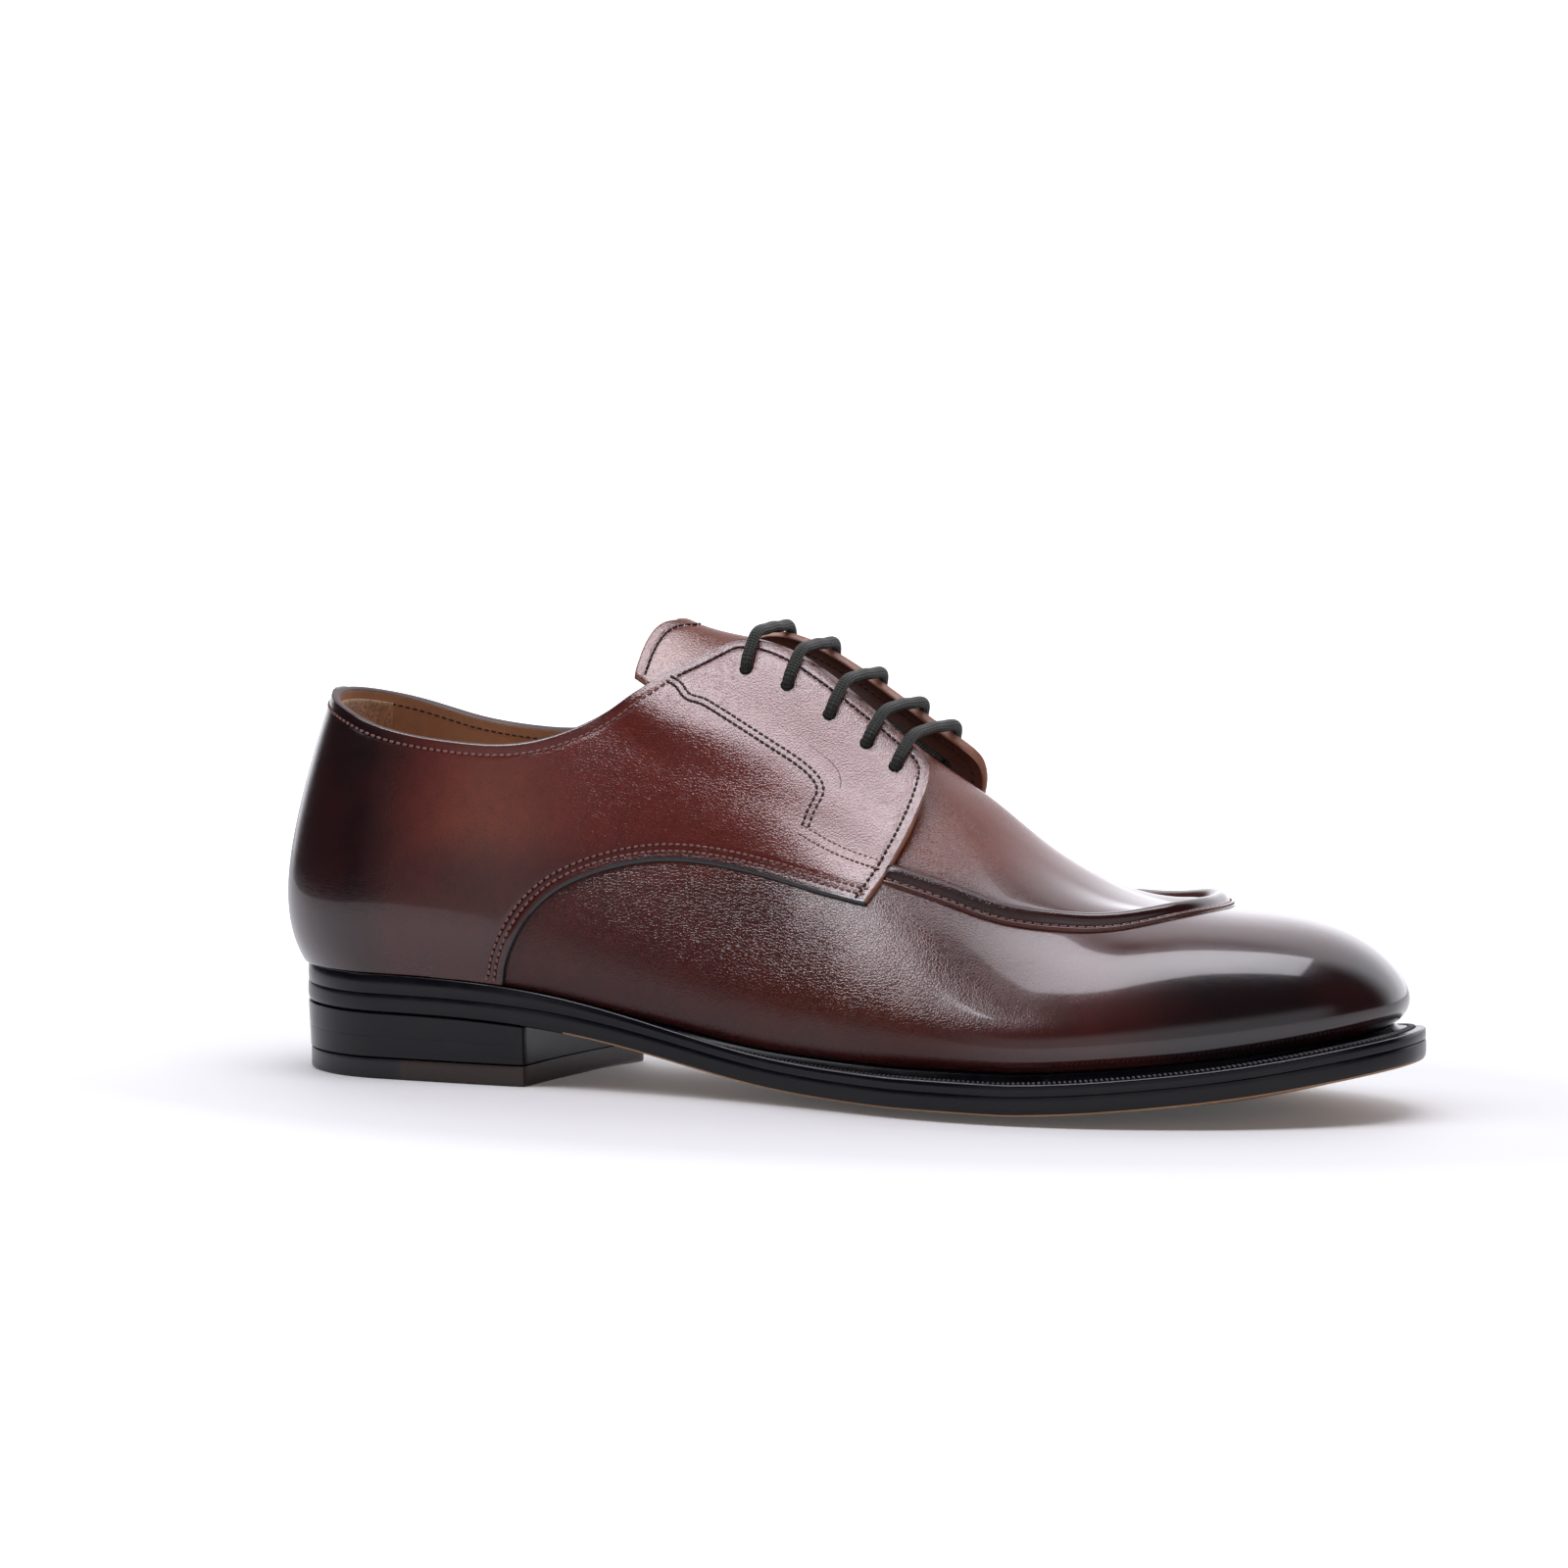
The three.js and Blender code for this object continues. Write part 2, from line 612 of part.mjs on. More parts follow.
function breastCutter() {
  const side = ballWidth;
  const reach = soleLength;
  const shape = new THREE.Shape();
  const outerX = heelLength - breastSlant * (side - heelWidth / 2) / heelWidth;
  const innerX = heelLength + breastSlant * (side + heelWidth / 2) / heelWidth;
  shape.moveTo(-reach, -side);
  shape.lineTo(outerX, -side);
  shape.lineTo(heelLength, -heelWidth / 2);
  const hollowX = heelLength + breastSlant / 2 - 2 * breastHollow;
  shape.quadraticCurveTo(hollowX, 0, heelLength + breastSlant, heelWidth / 2);
  shape.lineTo(innerX, side);
  shape.lineTo(-reach, side);
  shape.closePath();
  const geometry = new THREE.ExtrudeGeometry(shape, { depth: reach, bevelEnabled: false, curveSegments: 8 });
  geometry.translate(0, 0, -reach / 2);
  return solidOf(geometry);
}

const topPiece = () => heelBlock(0, () => topPieceThickness).intersect(breastCutter());
const heelStack = () => heelBlock(topPieceThickness + clearance, (x) => soleBottom(x, 0) - clearance)
  .intersect(breastCutter());

// Insole: inside the foot of the upper, over the welt's inner margin
function insole() {
  const inset = Math.max(wall, quarterWall - quarterStep) + 2 * clearance;
  return roundSolid((angle) => {
    const foot = featherPoint(angle);
    const spineX = clamp(foot.x, heelFan, toeFan);
    const centre = new THREE.Vector2(spineX, swing(lastShare(spineX)));
    const edge = new THREE.Vector2(foot.x, foot.y);
    edge.lerp(centre, inset / edge.distanceTo(centre));
    const place = { centre, edge };
    const low = (x) => featherHeight(x);
    const high = (x) => featherHeight(x) + insoleThickness;
    return [onSole(place, 0, low), onSole(place, 1, low), onSole(place, 1, high), onSole(place, 0, high)];
  }, soleSteps);
}

// Upper edge of the vamp, hidden under the quarter, and round the throat to the ridge
const throatStart = lastStart + 0.513 * lastLength;
const throatEnd = lastStart + 0.547 * lastLength;
const throatDepth = throatEnd - throatStart;
const seamFootX = lastStart + seamRows[0].at * lastLength;
const vampStart = seamFootX - hiddenLap;

const seamHeight = (x) => sideHeight * seamUp(lastShare(x));

function vampTop(angle) {
  const x = featherPoint(angle).x;
  const seamX = Math.min(x + hiddenLap / 2, throatEnd);
  const lapped = upAt(angle, seamHeight(seamX) + hiddenLap);
  return lerp(lapped, 1, clamp((x - throatStart) / throatDepth, 0, 1));
}

// Apron: a raised roll between plug and wall, a U seen from above
const apronStart = lastStart + 0.574 * lastLength;
const apronTip = lastStart + 0.844 * lastLength;
const apronSquareness = 2.6;
const apronOuter = 0.335 * ballWidth;
const apronInner = 0.275 * ballWidth;
const apronCentre = 0.05 * ballWidth;

function isInsideApron(point) {
  const along = clamp((point.x - apronStart) / (apronTip - apronStart), 0, 2);
  const offCentre = point.y - apronCentre;
  const aside = Math.abs(offCentre) / (offCentre < 0 ? apronOuter : apronInner);
  return along ** apronSquareness + aside ** apronSquareness < 1;
}

// The roll across its width, from the wall (-1) to the crease against the plug (1)
const rollRows = [
  { across: -1.0, high: 0.00 },
  { across: -0.7, high: 0.28 },
  { across: -0.2, high: 0.80 },
  { across: 0.3, high: 1.00 },
  { across: 0.75, high: 0.70 },
  { across: 1.0, high: -0.06 },
];
const wallShares = [0, 0.08, 0.19, 0.33, 0.5, 0.68, 0.85];
const plugShares = [0.33, 0.67, 1];

// Where the roll's rows lie in the vamp's wings, flat under the quarter: shares of the way up
const wingMiddle = 0.62;
const wingHalf = 0.05;
const girthStep = 0.02;

// The rows of one column of the vamp: share of the way up, and height over the last
function vampRows(angle, top) {
  const x = featherPoint(angle).x;
  const blend = smooth((x - throatStart) / (apronStart - throatStart));
  const seam = bisect((up) => !isInsideApron(lastPoint(angle, up)), 0.1, 1);
  const girth = lastPoint(angle, seam).distanceTo(lastPoint(angle, seam - girthStep)) / girthStep;
  const middle = lerp(wingMiddle * top, seam, blend);
  const half = lerp(wingHalf * top, apronRollWidth / 2 / girth, blend);
  const rise = apronRollHeight * smooth((x - apronStart) / (1.5 * apronRollWidth));
  return [
    ...wallShares.map((share) => ({ up: share * (middle - half), high: 0 })),
    ...rollRows.map((row) => ({ up: middle + row.across * half, high: row.high * rise })),
    ...plugShares.map((share) => ({ up: lerp(middle + half, top, share), high: 0 })),
  ];
}

function vampWall() {
  const first = angleAt(vampStart);
  const throatFirst = angleAt(throatStart);
  const throatLast = angleAt(throatEnd);
  const runs = [
    { from: first, to: throatFirst, columns: 6 },
    { from: throatFirst, to: throatLast, columns: 3 },
    { from: throatLast, to: HALF_TURN, columns: 16 },
  ];
  const half = runs.flatMap((run) => (
    Array.from({ length: run.columns }, (_, i) => lerp(run.from, run.to, i / run.columns))
  ));
  const angles = [...half, HALF_TURN, ...[...half].reverse().map((angle) => 2 * Math.PI - angle)];
  const zipped = (angle) => Math.min(angle, 2 * Math.PI - angle) >= throatLast - 1e-9;
  const columns = angles.map((angle) => vampRows(angle, zipped(angle) ? 1 : vampTop(angle)));
  const outer = columns.map((rows, i) => rows.map((row) => shellPoint(angles[i], row.up, row.high)));
  const inner = columns.map((rows, i) => rows.map((row) => shellPoint(angles[i], row.up, -wall)));
  return wallSolid(outer, inner, (i) => zipped(angles[i]) && zipped(angles[i + 1]));
}

// Ramps of the lift: from a share of the way up and of the last, over a span of each
const tongueLift = { up: 0.50, upSpan: 0.11, at: 0.28, span: 0.05 };
const edgeLift = { up: 0.58, upSpan: 0.26, at: 0.33, span: 0.10 };
const tongueRoom = quarterWall - quarterStep + 2 * clearance;

// How far the facing stands off the last, over the tongue
function facingLift(angle, up) {
  const x = featherPoint(angle).x;
  const full = angle <= HALF_TURN ? outerFacingLift : innerFacingLift;
  const ramp = (lift) => smooth((up - lift.up) / lift.upSpan) * smooth((lastShare(x) - lift.at) / lift.span);
  return quarterStep + tongueRoom * ramp(tongueLift) + (full - tongueRoom) * ramp(edgeLift);
}

// Quarter: bottom edge along the feather and up the seam, top edge along collar and facing
const footShare = 0.38;
function quarterBottom(s) {
  const seamFoot = angleAt(seamFootX);
  if (s <= footShare) return new THREE.Vector2(seamFoot * s / footShare, 0);
  const t = (s - footShare) / (1 - footShare);
  const at = lerp(seamRows[0].at, facingRows[0].at, t ** 1.5);
  const angle = angleAt(lastStart + at * lastLength);
  const start = smooth(t / 0.08);
  return new THREE.Vector2(angle, start * upAt(angle, sideHeight * seamUp(at)));
}

const collarEnd = 0.66;
const facingCorner = 0.60;
const joinT = 0.12;
function quarterTop(s, isOuter) {
  if (s <= collarEnd) {
    const end = collarRows[collarRows.length - 1].at;
    const angle = angleAt(lastStart + end * lastLength) * s / collarEnd;
    const at = (1 - Math.cos(angle)) / 2;
    return new THREE.Vector2(angle, upAt(angle, backHeight * collarBack(at) + sideHeight * collarSide(at)));
  }
  const t = (s - collarEnd) / (1 - collarEnd);
  if (t < joinT) {
    const from = quarterTop(collarEnd, isOuter);
    const to = facingEdge(1, isOuter);
    return from.lerp(to, t / joinT);
  }
  return facingEdge(lerp(1, facingCorner, (t - joinT) / (1 - joinT)), isOuter);
}

function facingEdge(step, isOuter) {
  const forward = isOuter ? 0 : innerFacingForward * Math.sin(Math.PI * step) ** 2;
  return new THREE.Vector2(angleAt(lastStart + facingAt(step) * lastLength + forward), facingUp(step));
}

function quarterSpot(s, t, isOuter) {
  const low = quarterBottom(s);
  const high = quarterTop(s, isOuter);
  const front = facingEdge(lerp(0, facingCorner, t), isOuter);
  const straight = facingEdge(0, isOuter).lerp(facingEdge(facingCorner, isOuter), t);
  return low.lerp(high, t).addScaledVector(front.sub(straight), s ** 5);
}

const quarterColumns = 30;
const quarterShares = [0, 0.06, 0.15, 0.27, 0.42, 0.58, 0.72, 0.86, 1];

// Both quarters in one wall, from the inner facing round the heel to the outer facing.
// The back strip over the seam that joins them is a step in it.
function quarters() {
  const heelTurn = angleAt(seamFootX) / footShare;
  const isInStrip = (angle) => Math.abs(featherPoint(angle).y) < backStripWidth / 2;
  const strip = bisect(isInStrip, 0, HALF_TURN / 4) / heelTurn;
  const stripShares = [0.45, 0.96, 1.04];
  const half = stripShares.map((share) => share * strip);
  const next = half[half.length - 1];
  for (let i = 1; i <= quarterColumns; i += 1) half.push(lerp(next, 1, i / quarterColumns));
  const columns = [...half.map((s) => -s).reverse(), 0, ...half];
  const grid = (depth, stripStep) => columns.map((side) => quarterShares.map((t) => {
    const s = Math.abs(side);
    const spot = quarterSpot(s, t, side >= 0);
    const own = side >= 0 ? spot.x : 2 * Math.PI - spot.x;
    const up = t === 0 && s <= footShare ? 0 : spot.y;
    const step = s < strip ? stripStep : 0;
    return shellPoint(own, up, facingLift(own, up) + step - depth);
  }));
  return wallSolid(grid(0, backStripStep), grid(quarterWall, 0));
}

// Eyelets: a row along each facing edge, as steps of its table
const firstEyelet = 0.958;
const lastEyelet = 0.69;
function eyeletSpot(pair, isOuter) {
  const step = lerp(firstEyelet, lastEyelet, pair / (eyeletPairs - 1));
  const edge = facingEdge(step, isOuter);
  const angle = isOuter ? edge.x : 2 * Math.PI - edge.x;
  const start = shellPoint(angle, edge.y, facingLift(angle, edge.y));
  const up = bisect((value) => {
    const point = shellPoint(angle, value, facingLift(angle, value));
    return point.distanceTo(start) > eyeletMargin;
  }, 0.4, edge.y);
  return { angle, up, edgeUp: edge.y };
}

function eyeletCutters() {
  const cutters = [];
  for (let pair = 0; pair < eyeletPairs; pair += 1) {
    for (const isOuter of [true, false]) {
      const spot = eyeletSpot(pair, isOuter);
      const normal = lastNormal(spot.angle, spot.up);
      const centre = shellPoint(spot.angle, spot.up, facingLift(spot.angle, spot.up) - quarterWall / 2);
      const geometry = new THREE.CylinderGeometry(eyeletHole / 2, eyeletHole / 2, 2 * quarterWall, 8);
      geometry.applyQuaternion(new THREE.Quaternion().setFromUnitVectors(new THREE.Vector3(0, 1, 0), normal));
      geometry.translate(centre.x, centre.y, centre.z);
      cutters.push(solidOf(geometry));
    }
  }
  return cutters;
}

function upper() {
  let solid = vampWall().add(quarters());
  for (const cutter of eyeletCutters()) solid = solid.subtract(cutter);
  return solid;
}

// Tongue: from the throat under the facings to a rounded free end
const tongueSide = 0.65;
const tongueSweep = 6;
const tongueTopX = lastStart + 0.355 * lastLength;

function tongue() {
  const columns = 10;
  const rows = 12;
  const grid = (offset) => {
    const strips = [];
    for (let i = 0; i <= columns; i += 1) {
      const strip = [];
      for (let j = 0; j <= rows; j += 1) {
        const across = lerp(-1, 1, j / rows);
        const up = lerp(1, tongueSide, Math.abs(across));
        const isOuter = across <= 0;
        const isBehindVamp = (x) => vampTop(angleAt(x)) < up;
        const vampX = bisect(isBehindVamp, throatStart - throatDepth, throatEnd);
        const frontX = vampX - 2 * clearance;
        const rearX = tongueTopX - tongueSweep * across ** 2;
        const x = lerp(frontX, rearX, i / columns);
        const angle = isOuter ? angleAt(x) : 2 * Math.PI - angleAt(x);
        strip.push(shellPoint(angle, up, offset));
      }
      strips.push(strip);
    }
    return strips;
  };
  return wallSolid(grid(0).reverse(), grid(-tongueThickness).reverse());
}

// Lace bars: straight across the gap, from over one eyelet to over the other
function laceBar(pair) {
  const points = [];
  const outer = eyeletSpot(pair, true);
  const inner = eyeletSpot(pair, false);
  const over = laceDiameter / 2 + clearance;
  const onFacing = (spot, up) => shellPoint(spot.angle, up, facingLift(spot.angle, up) + over);
  for (const share of [0, 0.5, 1]) points.push(onFacing(outer, lerp(outer.up, outer.edgeUp, share)));
  const from = points[points.length - 1];
  const to = onFacing(inner, inner.edgeUp);
  for (const share of [0.25, 0.5, 0.75]) {
    const middle = from.clone().lerp(to, share);
    middle.z += laceArch * Math.sin(Math.PI * share);
    points.push(middle);
  }
  for (const share of [1, 0.5, 0]) points.push(onFacing(inner, lerp(inner.up, inner.edgeUp, share)));
  const path = new THREE.CatmullRomCurve3(points, false, 'centripetal');
  const round = new THREE.Shape();
  const sides = 8;
  for (let k = 0; k < sides; k += 1) {
    const turn = 2 * Math.PI * k / sides;
    const x = Math.cos(turn) * laceDiameter / 2;
    const y = Math.sin(turn) * laceDiameter / 2;
    if (k === 0) round.moveTo(x, y);
    else round.lineTo(x, y);
  }
  round.closePath();
  return solidOf(new THREE.ExtrudeGeometry(round, { steps: 14, extrudePath: path, bevelEnabled: false }));
}

const material = (color, roughness) => new THREE.MeshStandardMaterial({ color, roughness, metalness: 0 });
const soleEdge = material(0x14161b, 0.3);
const leatherBottom = material(0x9a7350, 0.6);
const upperLeather = material(0x5a2a20, 0.35);
const liningLeather = material(0xb08a5e, 0.7);
const laceCord = material(0x33362f, 0.75);

const shoe = new THREE.Group();
function put(name, solid, finish) {
  const mesh = new THREE.Mesh(geometryOf(solid), finish);
  mesh.name = name;
  shoe.add(mesh);
}

put('outsole', outsole(), leatherBottom);
put('welt', welt(), soleEdge);
put('heel_stack', heelStack(), soleEdge);
put('top_piece', topPiece(), soleEdge);
put('insole', insole(), liningLeather);
put('upper', upper(), upperLeather);
put('tongue', tongue(), upperLeather);
for (let pair = 0; pair < eyeletPairs; pair += 1) put(`lace_bar_${pair + 1}`, laceBar(pair), laceCord);

const box = new THREE.Box3().setFromObject(shoe);
const centre = box.getCenter(new THREE.Vector3());
shoe.position.set(-centre.x, -centre.y, -box.min.z);

export default shoe;
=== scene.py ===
import math

import bmesh
import bpy
import numpy as np
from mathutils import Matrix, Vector
from mathutils.kdtree import KDTree


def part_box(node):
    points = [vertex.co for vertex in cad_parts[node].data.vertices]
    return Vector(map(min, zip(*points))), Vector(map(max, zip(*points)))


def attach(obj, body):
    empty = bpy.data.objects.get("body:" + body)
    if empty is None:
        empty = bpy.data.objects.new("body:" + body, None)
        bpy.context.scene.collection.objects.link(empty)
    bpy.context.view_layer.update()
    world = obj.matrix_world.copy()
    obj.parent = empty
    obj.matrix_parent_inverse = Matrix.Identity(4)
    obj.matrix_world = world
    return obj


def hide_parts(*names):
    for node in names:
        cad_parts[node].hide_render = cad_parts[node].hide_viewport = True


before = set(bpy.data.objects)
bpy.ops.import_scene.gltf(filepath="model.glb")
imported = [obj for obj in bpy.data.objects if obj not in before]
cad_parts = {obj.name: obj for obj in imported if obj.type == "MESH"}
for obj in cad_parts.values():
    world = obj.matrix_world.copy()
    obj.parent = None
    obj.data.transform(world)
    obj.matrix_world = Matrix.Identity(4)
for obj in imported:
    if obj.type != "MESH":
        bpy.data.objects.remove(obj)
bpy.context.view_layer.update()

# Insole and sock
# A firm leather insole, lined with a thin tan sock, closes the foot of the upper. It is the first
# piece on the last, so the form of the last is worked out here: the feather line round the foot
# and, over it, sections up to a crown. Sizes are millimetres from the back of the sole.
sole_length = 300.0
ball_width = 100.0
heel_width = 61.6
heel_height = 17.7
toe_spring = 12.5
sole_camber = 2.2
outsole_thickness = 4.7
welt_thickness = 3.0
welt_rise = 2.0
toe_welt = 8.0
heel_welt = 0.5
instep_height = 111.5
toe_height = 50.0
insole_thickness = 3.0
wall = 2.2
quarter_wall = 2.4
quarter_step = 1.2
clearance = 0.3


class Table:
    """Smooth curves through the named columns of a table, over its first column."""

    def __init__(self, names, *rows):
        columns = np.array(rows, float).T
        self.x = columns[0]
        for name, values in zip(names.split()[1:], columns[1:]):
            setattr(self, name if name != "x" else "x_of", self.curve(values))

    def curve(self, y):
        x, step = self.x, np.diff(self.x)
        matrix, right = np.eye(len(x)), np.zeros(len(x))
        for i in range(1, len(x) - 1):
            matrix[i, i - 1:i + 2] = step[i - 1], 2 * (step[i - 1] + step[i]), step[i]
            right[i] = 6 * ((y[i + 1] - y[i]) / step[i] - (y[i] - y[i - 1]) / step[i - 1])
        bend = np.linalg.solve(matrix, right)

        def value(at):
            at = np.clip(at, x[0], x[-1])
            i = np.clip(np.searchsorted(x, at) - 1, 0, len(x) - 2)
            a = (x[i + 1] - at) / step[i]
            b = 1 - a
            curved = ((a**3 - a) * bend[i] + (b**3 - b) * bend[i + 1]) * step[i] ** 2 / 6
            return a * y[i] + b * y[i + 1] + curved

        return value


def lerp(a, b, t):
    return a + (b - a) * t


def smooth(t):
    u = np.clip(t, 0, 1)
    return u * u * (3 - 2 * u)


def hump(x, middle, spread):
    return np.exp(-(((x - middle) / spread) ** 2))


def gone_along(line):
    """How far each point of a line is from its start, along it."""
    return np.concatenate([[0], np.cumsum(np.linalg.norm(np.diff(line, axis=0), axis=1))])


sole_line = Table(
    "at outer inner",
    (0.00, 0.487, 0.487), (0.10, 0.500, 0.500), (0.18, 0.511, 0.503), (0.25, 0.511, 0.487),
    (0.35, 0.470, 0.376), (0.45, 0.436, 0.294), (0.55, 0.455, 0.317), (0.63, 0.500, 0.395),
    (0.70, 0.510, 0.450), (0.77, 0.485, 0.465), (0.85, 0.415, 0.430), (0.93, 0.325, 0.370),
    (1.00, 0.260, 0.330),
)
bottom_line = Table(
    "at heel spring camber",
    (0.00, 1.000, 0.00, 0.00), (0.08, 0.972, 0.00, 0.00), (0.24, 0.876, 0.00, 0.00),
    (0.30, 0.735, 0.00, 0.10), (0.38, 0.463, 0.00, 0.30), (0.46, 0.186, 0.00, 0.60),
    (0.54, 0.045, 0.00, 0.86), (0.60, 0.000, 0.00, 1.00), (0.70, 0.000, 0.00, 1.00),
    (0.80, 0.000, 0.17, 1.00), (0.90, 0.000, 0.50, 0.82), (1.00, 0.000, 1.00, 0.55),
)
welt_line = Table(
    "at thick rise",
    (0.00, 1.65, 0.0), (0.22, 1.55, 0.0), (0.36, 1.10, 0.1), (0.50, 1.00, 0.8), (0.60, 1.00, 1.0),
    (1.00, 1.00, 1.0),
)
feather_line = Table(
    "at outer inner",
    (0.00, 0.471, 0.471), (0.10, 0.481, 0.481), (0.20, 0.487, 0.476), (0.30, 0.463, 0.408),
    (0.40, 0.404, 0.287), (0.50, 0.390, 0.254), (0.60, 0.425, 0.320), (0.70, 0.455, 0.395),
    (0.78, 0.430, 0.410), (0.86, 0.370, 0.390), (0.93, 0.305, 0.350), (1.00, 0.250, 0.310),
)
section = Table(
    "at cross outer inner",
    (0.00, 1.60, 1.80, 1.80), (0.10, 1.60, 1.80, 1.80), (0.20, 1.60, 1.80, 1.80), (0.30, 1.65, 1.70, 1.80),
    (0.40, 1.70, 1.60, 1.80), (0.50, 1.75, 1.50, 1.80), (0.60, 1.85, 1.45, 1.75), (0.70, 2.00, 1.50, 1.80),
    (0.78, 2.30, 1.70, 1.90), (0.86, 2.60, 2.00, 2.10), (0.93, 2.75, 2.30, 2.30), (1.00, 2.75, 2.40, 2.40),
)
swell_line = Table(
    "at outer inner height",
    (0.00, 0.055, 0.055, 0.235), (0.10, 0.050, 0.050, 0.225), (0.20, 0.042, 0.045, 0.210),
    (0.30, 0.042, 0.050, 0.170), (0.40, 0.050, 0.075, 0.140), (0.50, 0.055, 0.080, 0.120),
    (0.60, 0.055, 0.060, 0.105), (0.70, 0.050, 0.046, 0.095), (0.78, 0.042, 0.040, 0.090),
    (0.86, 0.036, 0.036, 0.085), (0.93, 0.040, 0.040, 0.080), (1.00, 0.046, 0.046, 0.080),
)
crown_line = Table(
    "at instep toe ridge",
    (0.067, 1.260, 0.000, 0.000), (0.204, 1.275, 0.000, 0.000), (0.290, 1.165, 0.000, 0.020),
    (0.362, 1.052, 0.000, 0.050), (0.444, 1.000, 0.000, 0.070), (0.513, 0.888, 0.000, 0.075),
    (0.547, 0.819, 0.000, 0.075), (0.588, 0.744, 0.000, 0.075), (0.633, 0.600, 0.160, 0.070),
    (0.684, 0.410, 0.385, 0.065), (0.726, 0.270, 0.575, 0.060), (0.763, 0.145, 0.765, 0.055),
    (0.805, 0.050, 0.920, 0.050), (0.839, 0.000, 0.985, 0.045),
)
last_start = heel_welt
last_length = sole_length - heel_welt - toe_welt
heel_fan = last_start + 0.122 * last_length
toe_fan = last_start + 0.794 * last_length
TURN = 2 * math.pi


def breadth(at):
    return lerp(heel_width, ball_width, smooth((at - 0.25) / 0.35))


def swing(at):
    return 0.03 * ball_width * np.clip((at - 0.7) / 0.3, 0, 1) ** 2


def last_share(x):
    return (x - last_start) / last_length


def on_side(angle, is_outer):
    """An angle of the outer side, or its mirror on the inner side."""
    return angle if is_outer else TURN - angle


def angle_at(x):
    return np.arccos(np.clip(1 - 2 * last_share(x), -1, 1))


def end_round(x, start, end, heel_radius, toe_radius, squareness):
    heel = np.clip((x - start) / heel_radius, 0, 1)
    toe = np.clip((end - x) / toe_radius, 0, 1)
    return np.sqrt(1 - (1 - heel) ** 2) * (1 - (1 - toe) ** squareness) ** (1 / squareness)


def sole_bottom(x, side):
    at = x / sole_length
    centre = np.maximum(0, heel_height * bottom_line.heel(at) + toe_spring * bottom_line.spring(at))
    return centre + sole_camber * np.maximum(0, bottom_line.camber(at)) * smooth((side - 0.4) / 0.6)


def welt_top(x):
    thick = welt_thickness * welt_line.thick(x / sole_length)
    return sole_bottom(x, 1) + outsole_thickness + clearance + thick


def feather_height(x):
    return welt_top(x) + welt_rise * welt_line.rise(x / sole_length) + clearance


def crown_height(x):
    at = last_share(x)
    return instep_height * crown_line.instep(at) + toe_height * crown_line.toe(at)


def crown_fall(x):
    return (crown_height(x + 0.001) - crown_height(x - 0.001)) / 0.002


def feather_point(turned):
    """The foot of the upper at an angle from the heel, by the outer side, to the toe (pi) and back."""
    angle = np.mod(turned, TURN)
    x = last_start + last_length * (1 - np.cos(angle)) / 2
    at = last_share(x)
    ends = end_round(x, last_start, last_start + last_length, 0.103 * last_length, 0.151 * last_length, 2.25)
    half = breadth(at) * ends * np.where(angle <= math.pi, -feather_line.outer(at), feather_line.inner(at))
    return np.stack([x, half + swing(at), feather_height(x)], -1)


def spine_at(x):
    """Where along the ridge a section's top lies: the sections fan out softly at both ends."""
    soft = 5.0
    past_heel, past_toe = x - heel_fan, toe_fan - x
    return (heel_fan + (past_heel + np.sqrt(past_heel**2 + soft**2)) / 2 + toe_fan
            - (past_toe + np.sqrt(past_toe**2 + soft**2)) / 2 - x)


def instep_swell(x, up):
    """The quarters are full below the facings, which lean back from there."""
    crest = lerp(0.57, 0.42, np.clip((x - 110) / 55, 0, 1))
    spread = np.where(up > crest, 0.15, 0.24)
    return 4.2 * hump(up, crest, spread) * smooth((x - 85) / 30) * smooth((215 - x) / 45)


def last_point(turned, up):
    """The last's surface: up is 0 on the feather line and 1 on the ridge."""
    turned, up = np.broadcast_arrays(np.asarray(turned, float), np.asarray(up, float))
    angle = np.mod(turned, TURN)
    foot = feather_point(angle)
    x, y, z = foot[..., 0], foot[..., 1], foot[..., 2]
    at = last_share(x)
    is_outer = angle <= math.pi
    spine_x = spine_at(x)
    spine_y = ball_width * crown_line.ridge(last_share(spine_x))
    full = np.where(is_outer, section.outer(at), section.inner(at))
    turn = np.clip(up, 0, 1) * math.pi / 2
    out = np.maximum(0, np.cos(turn)) ** (2 / section.cross(at))
    high = (crown_height(spine_x) - z) * np.sin(turn) ** (2 / full)
    dx, dy = x - spine_x, y - spine_y
    reach = np.hypot(dx, dy) + 1e-9
    swell = ball_width * np.where(is_outer, swell_line.outer(at), swell_line.inner(at))
    swell_at = high / (ball_width * swell_line.height(at))
    far = reach * out + swell * swell_at * np.exp(1 - swell_at) * np.minimum(1, out * 3)
    far += instep_swell(x, up)
    fall = crown_fall(toe_fan) * np.maximum(dx, 0) * out * (1 - out) ** 2
    return np.stack([spine_x + dx / reach * far, spine_y + dy / reach * far, z + high + fall], -1)


def last_normal(angle, up):
    angle, up = np.broadcast_arrays(np.asarray(angle, float), np.asarray(up, float))
    small = 0.001
    along = last_point(angle + small, up) - last_point(angle - small, up)
    across = last_point(angle, np.minimum(up + small, 1)) - last_point(angle, np.maximum(up - small, 0))
    normal = np.cross(along, across)
    spine_x = spine_at(feather_point(angle)[..., 0])
    crown = np.stack([-crown_fall(spine_x), 0 * spine_x, 0 * spine_x + 1], -1)
    normal = np.where((up > 0.995)[..., None], crown, normal)
    return normal / np.linalg.norm(normal, axis=-1, keepdims=True)


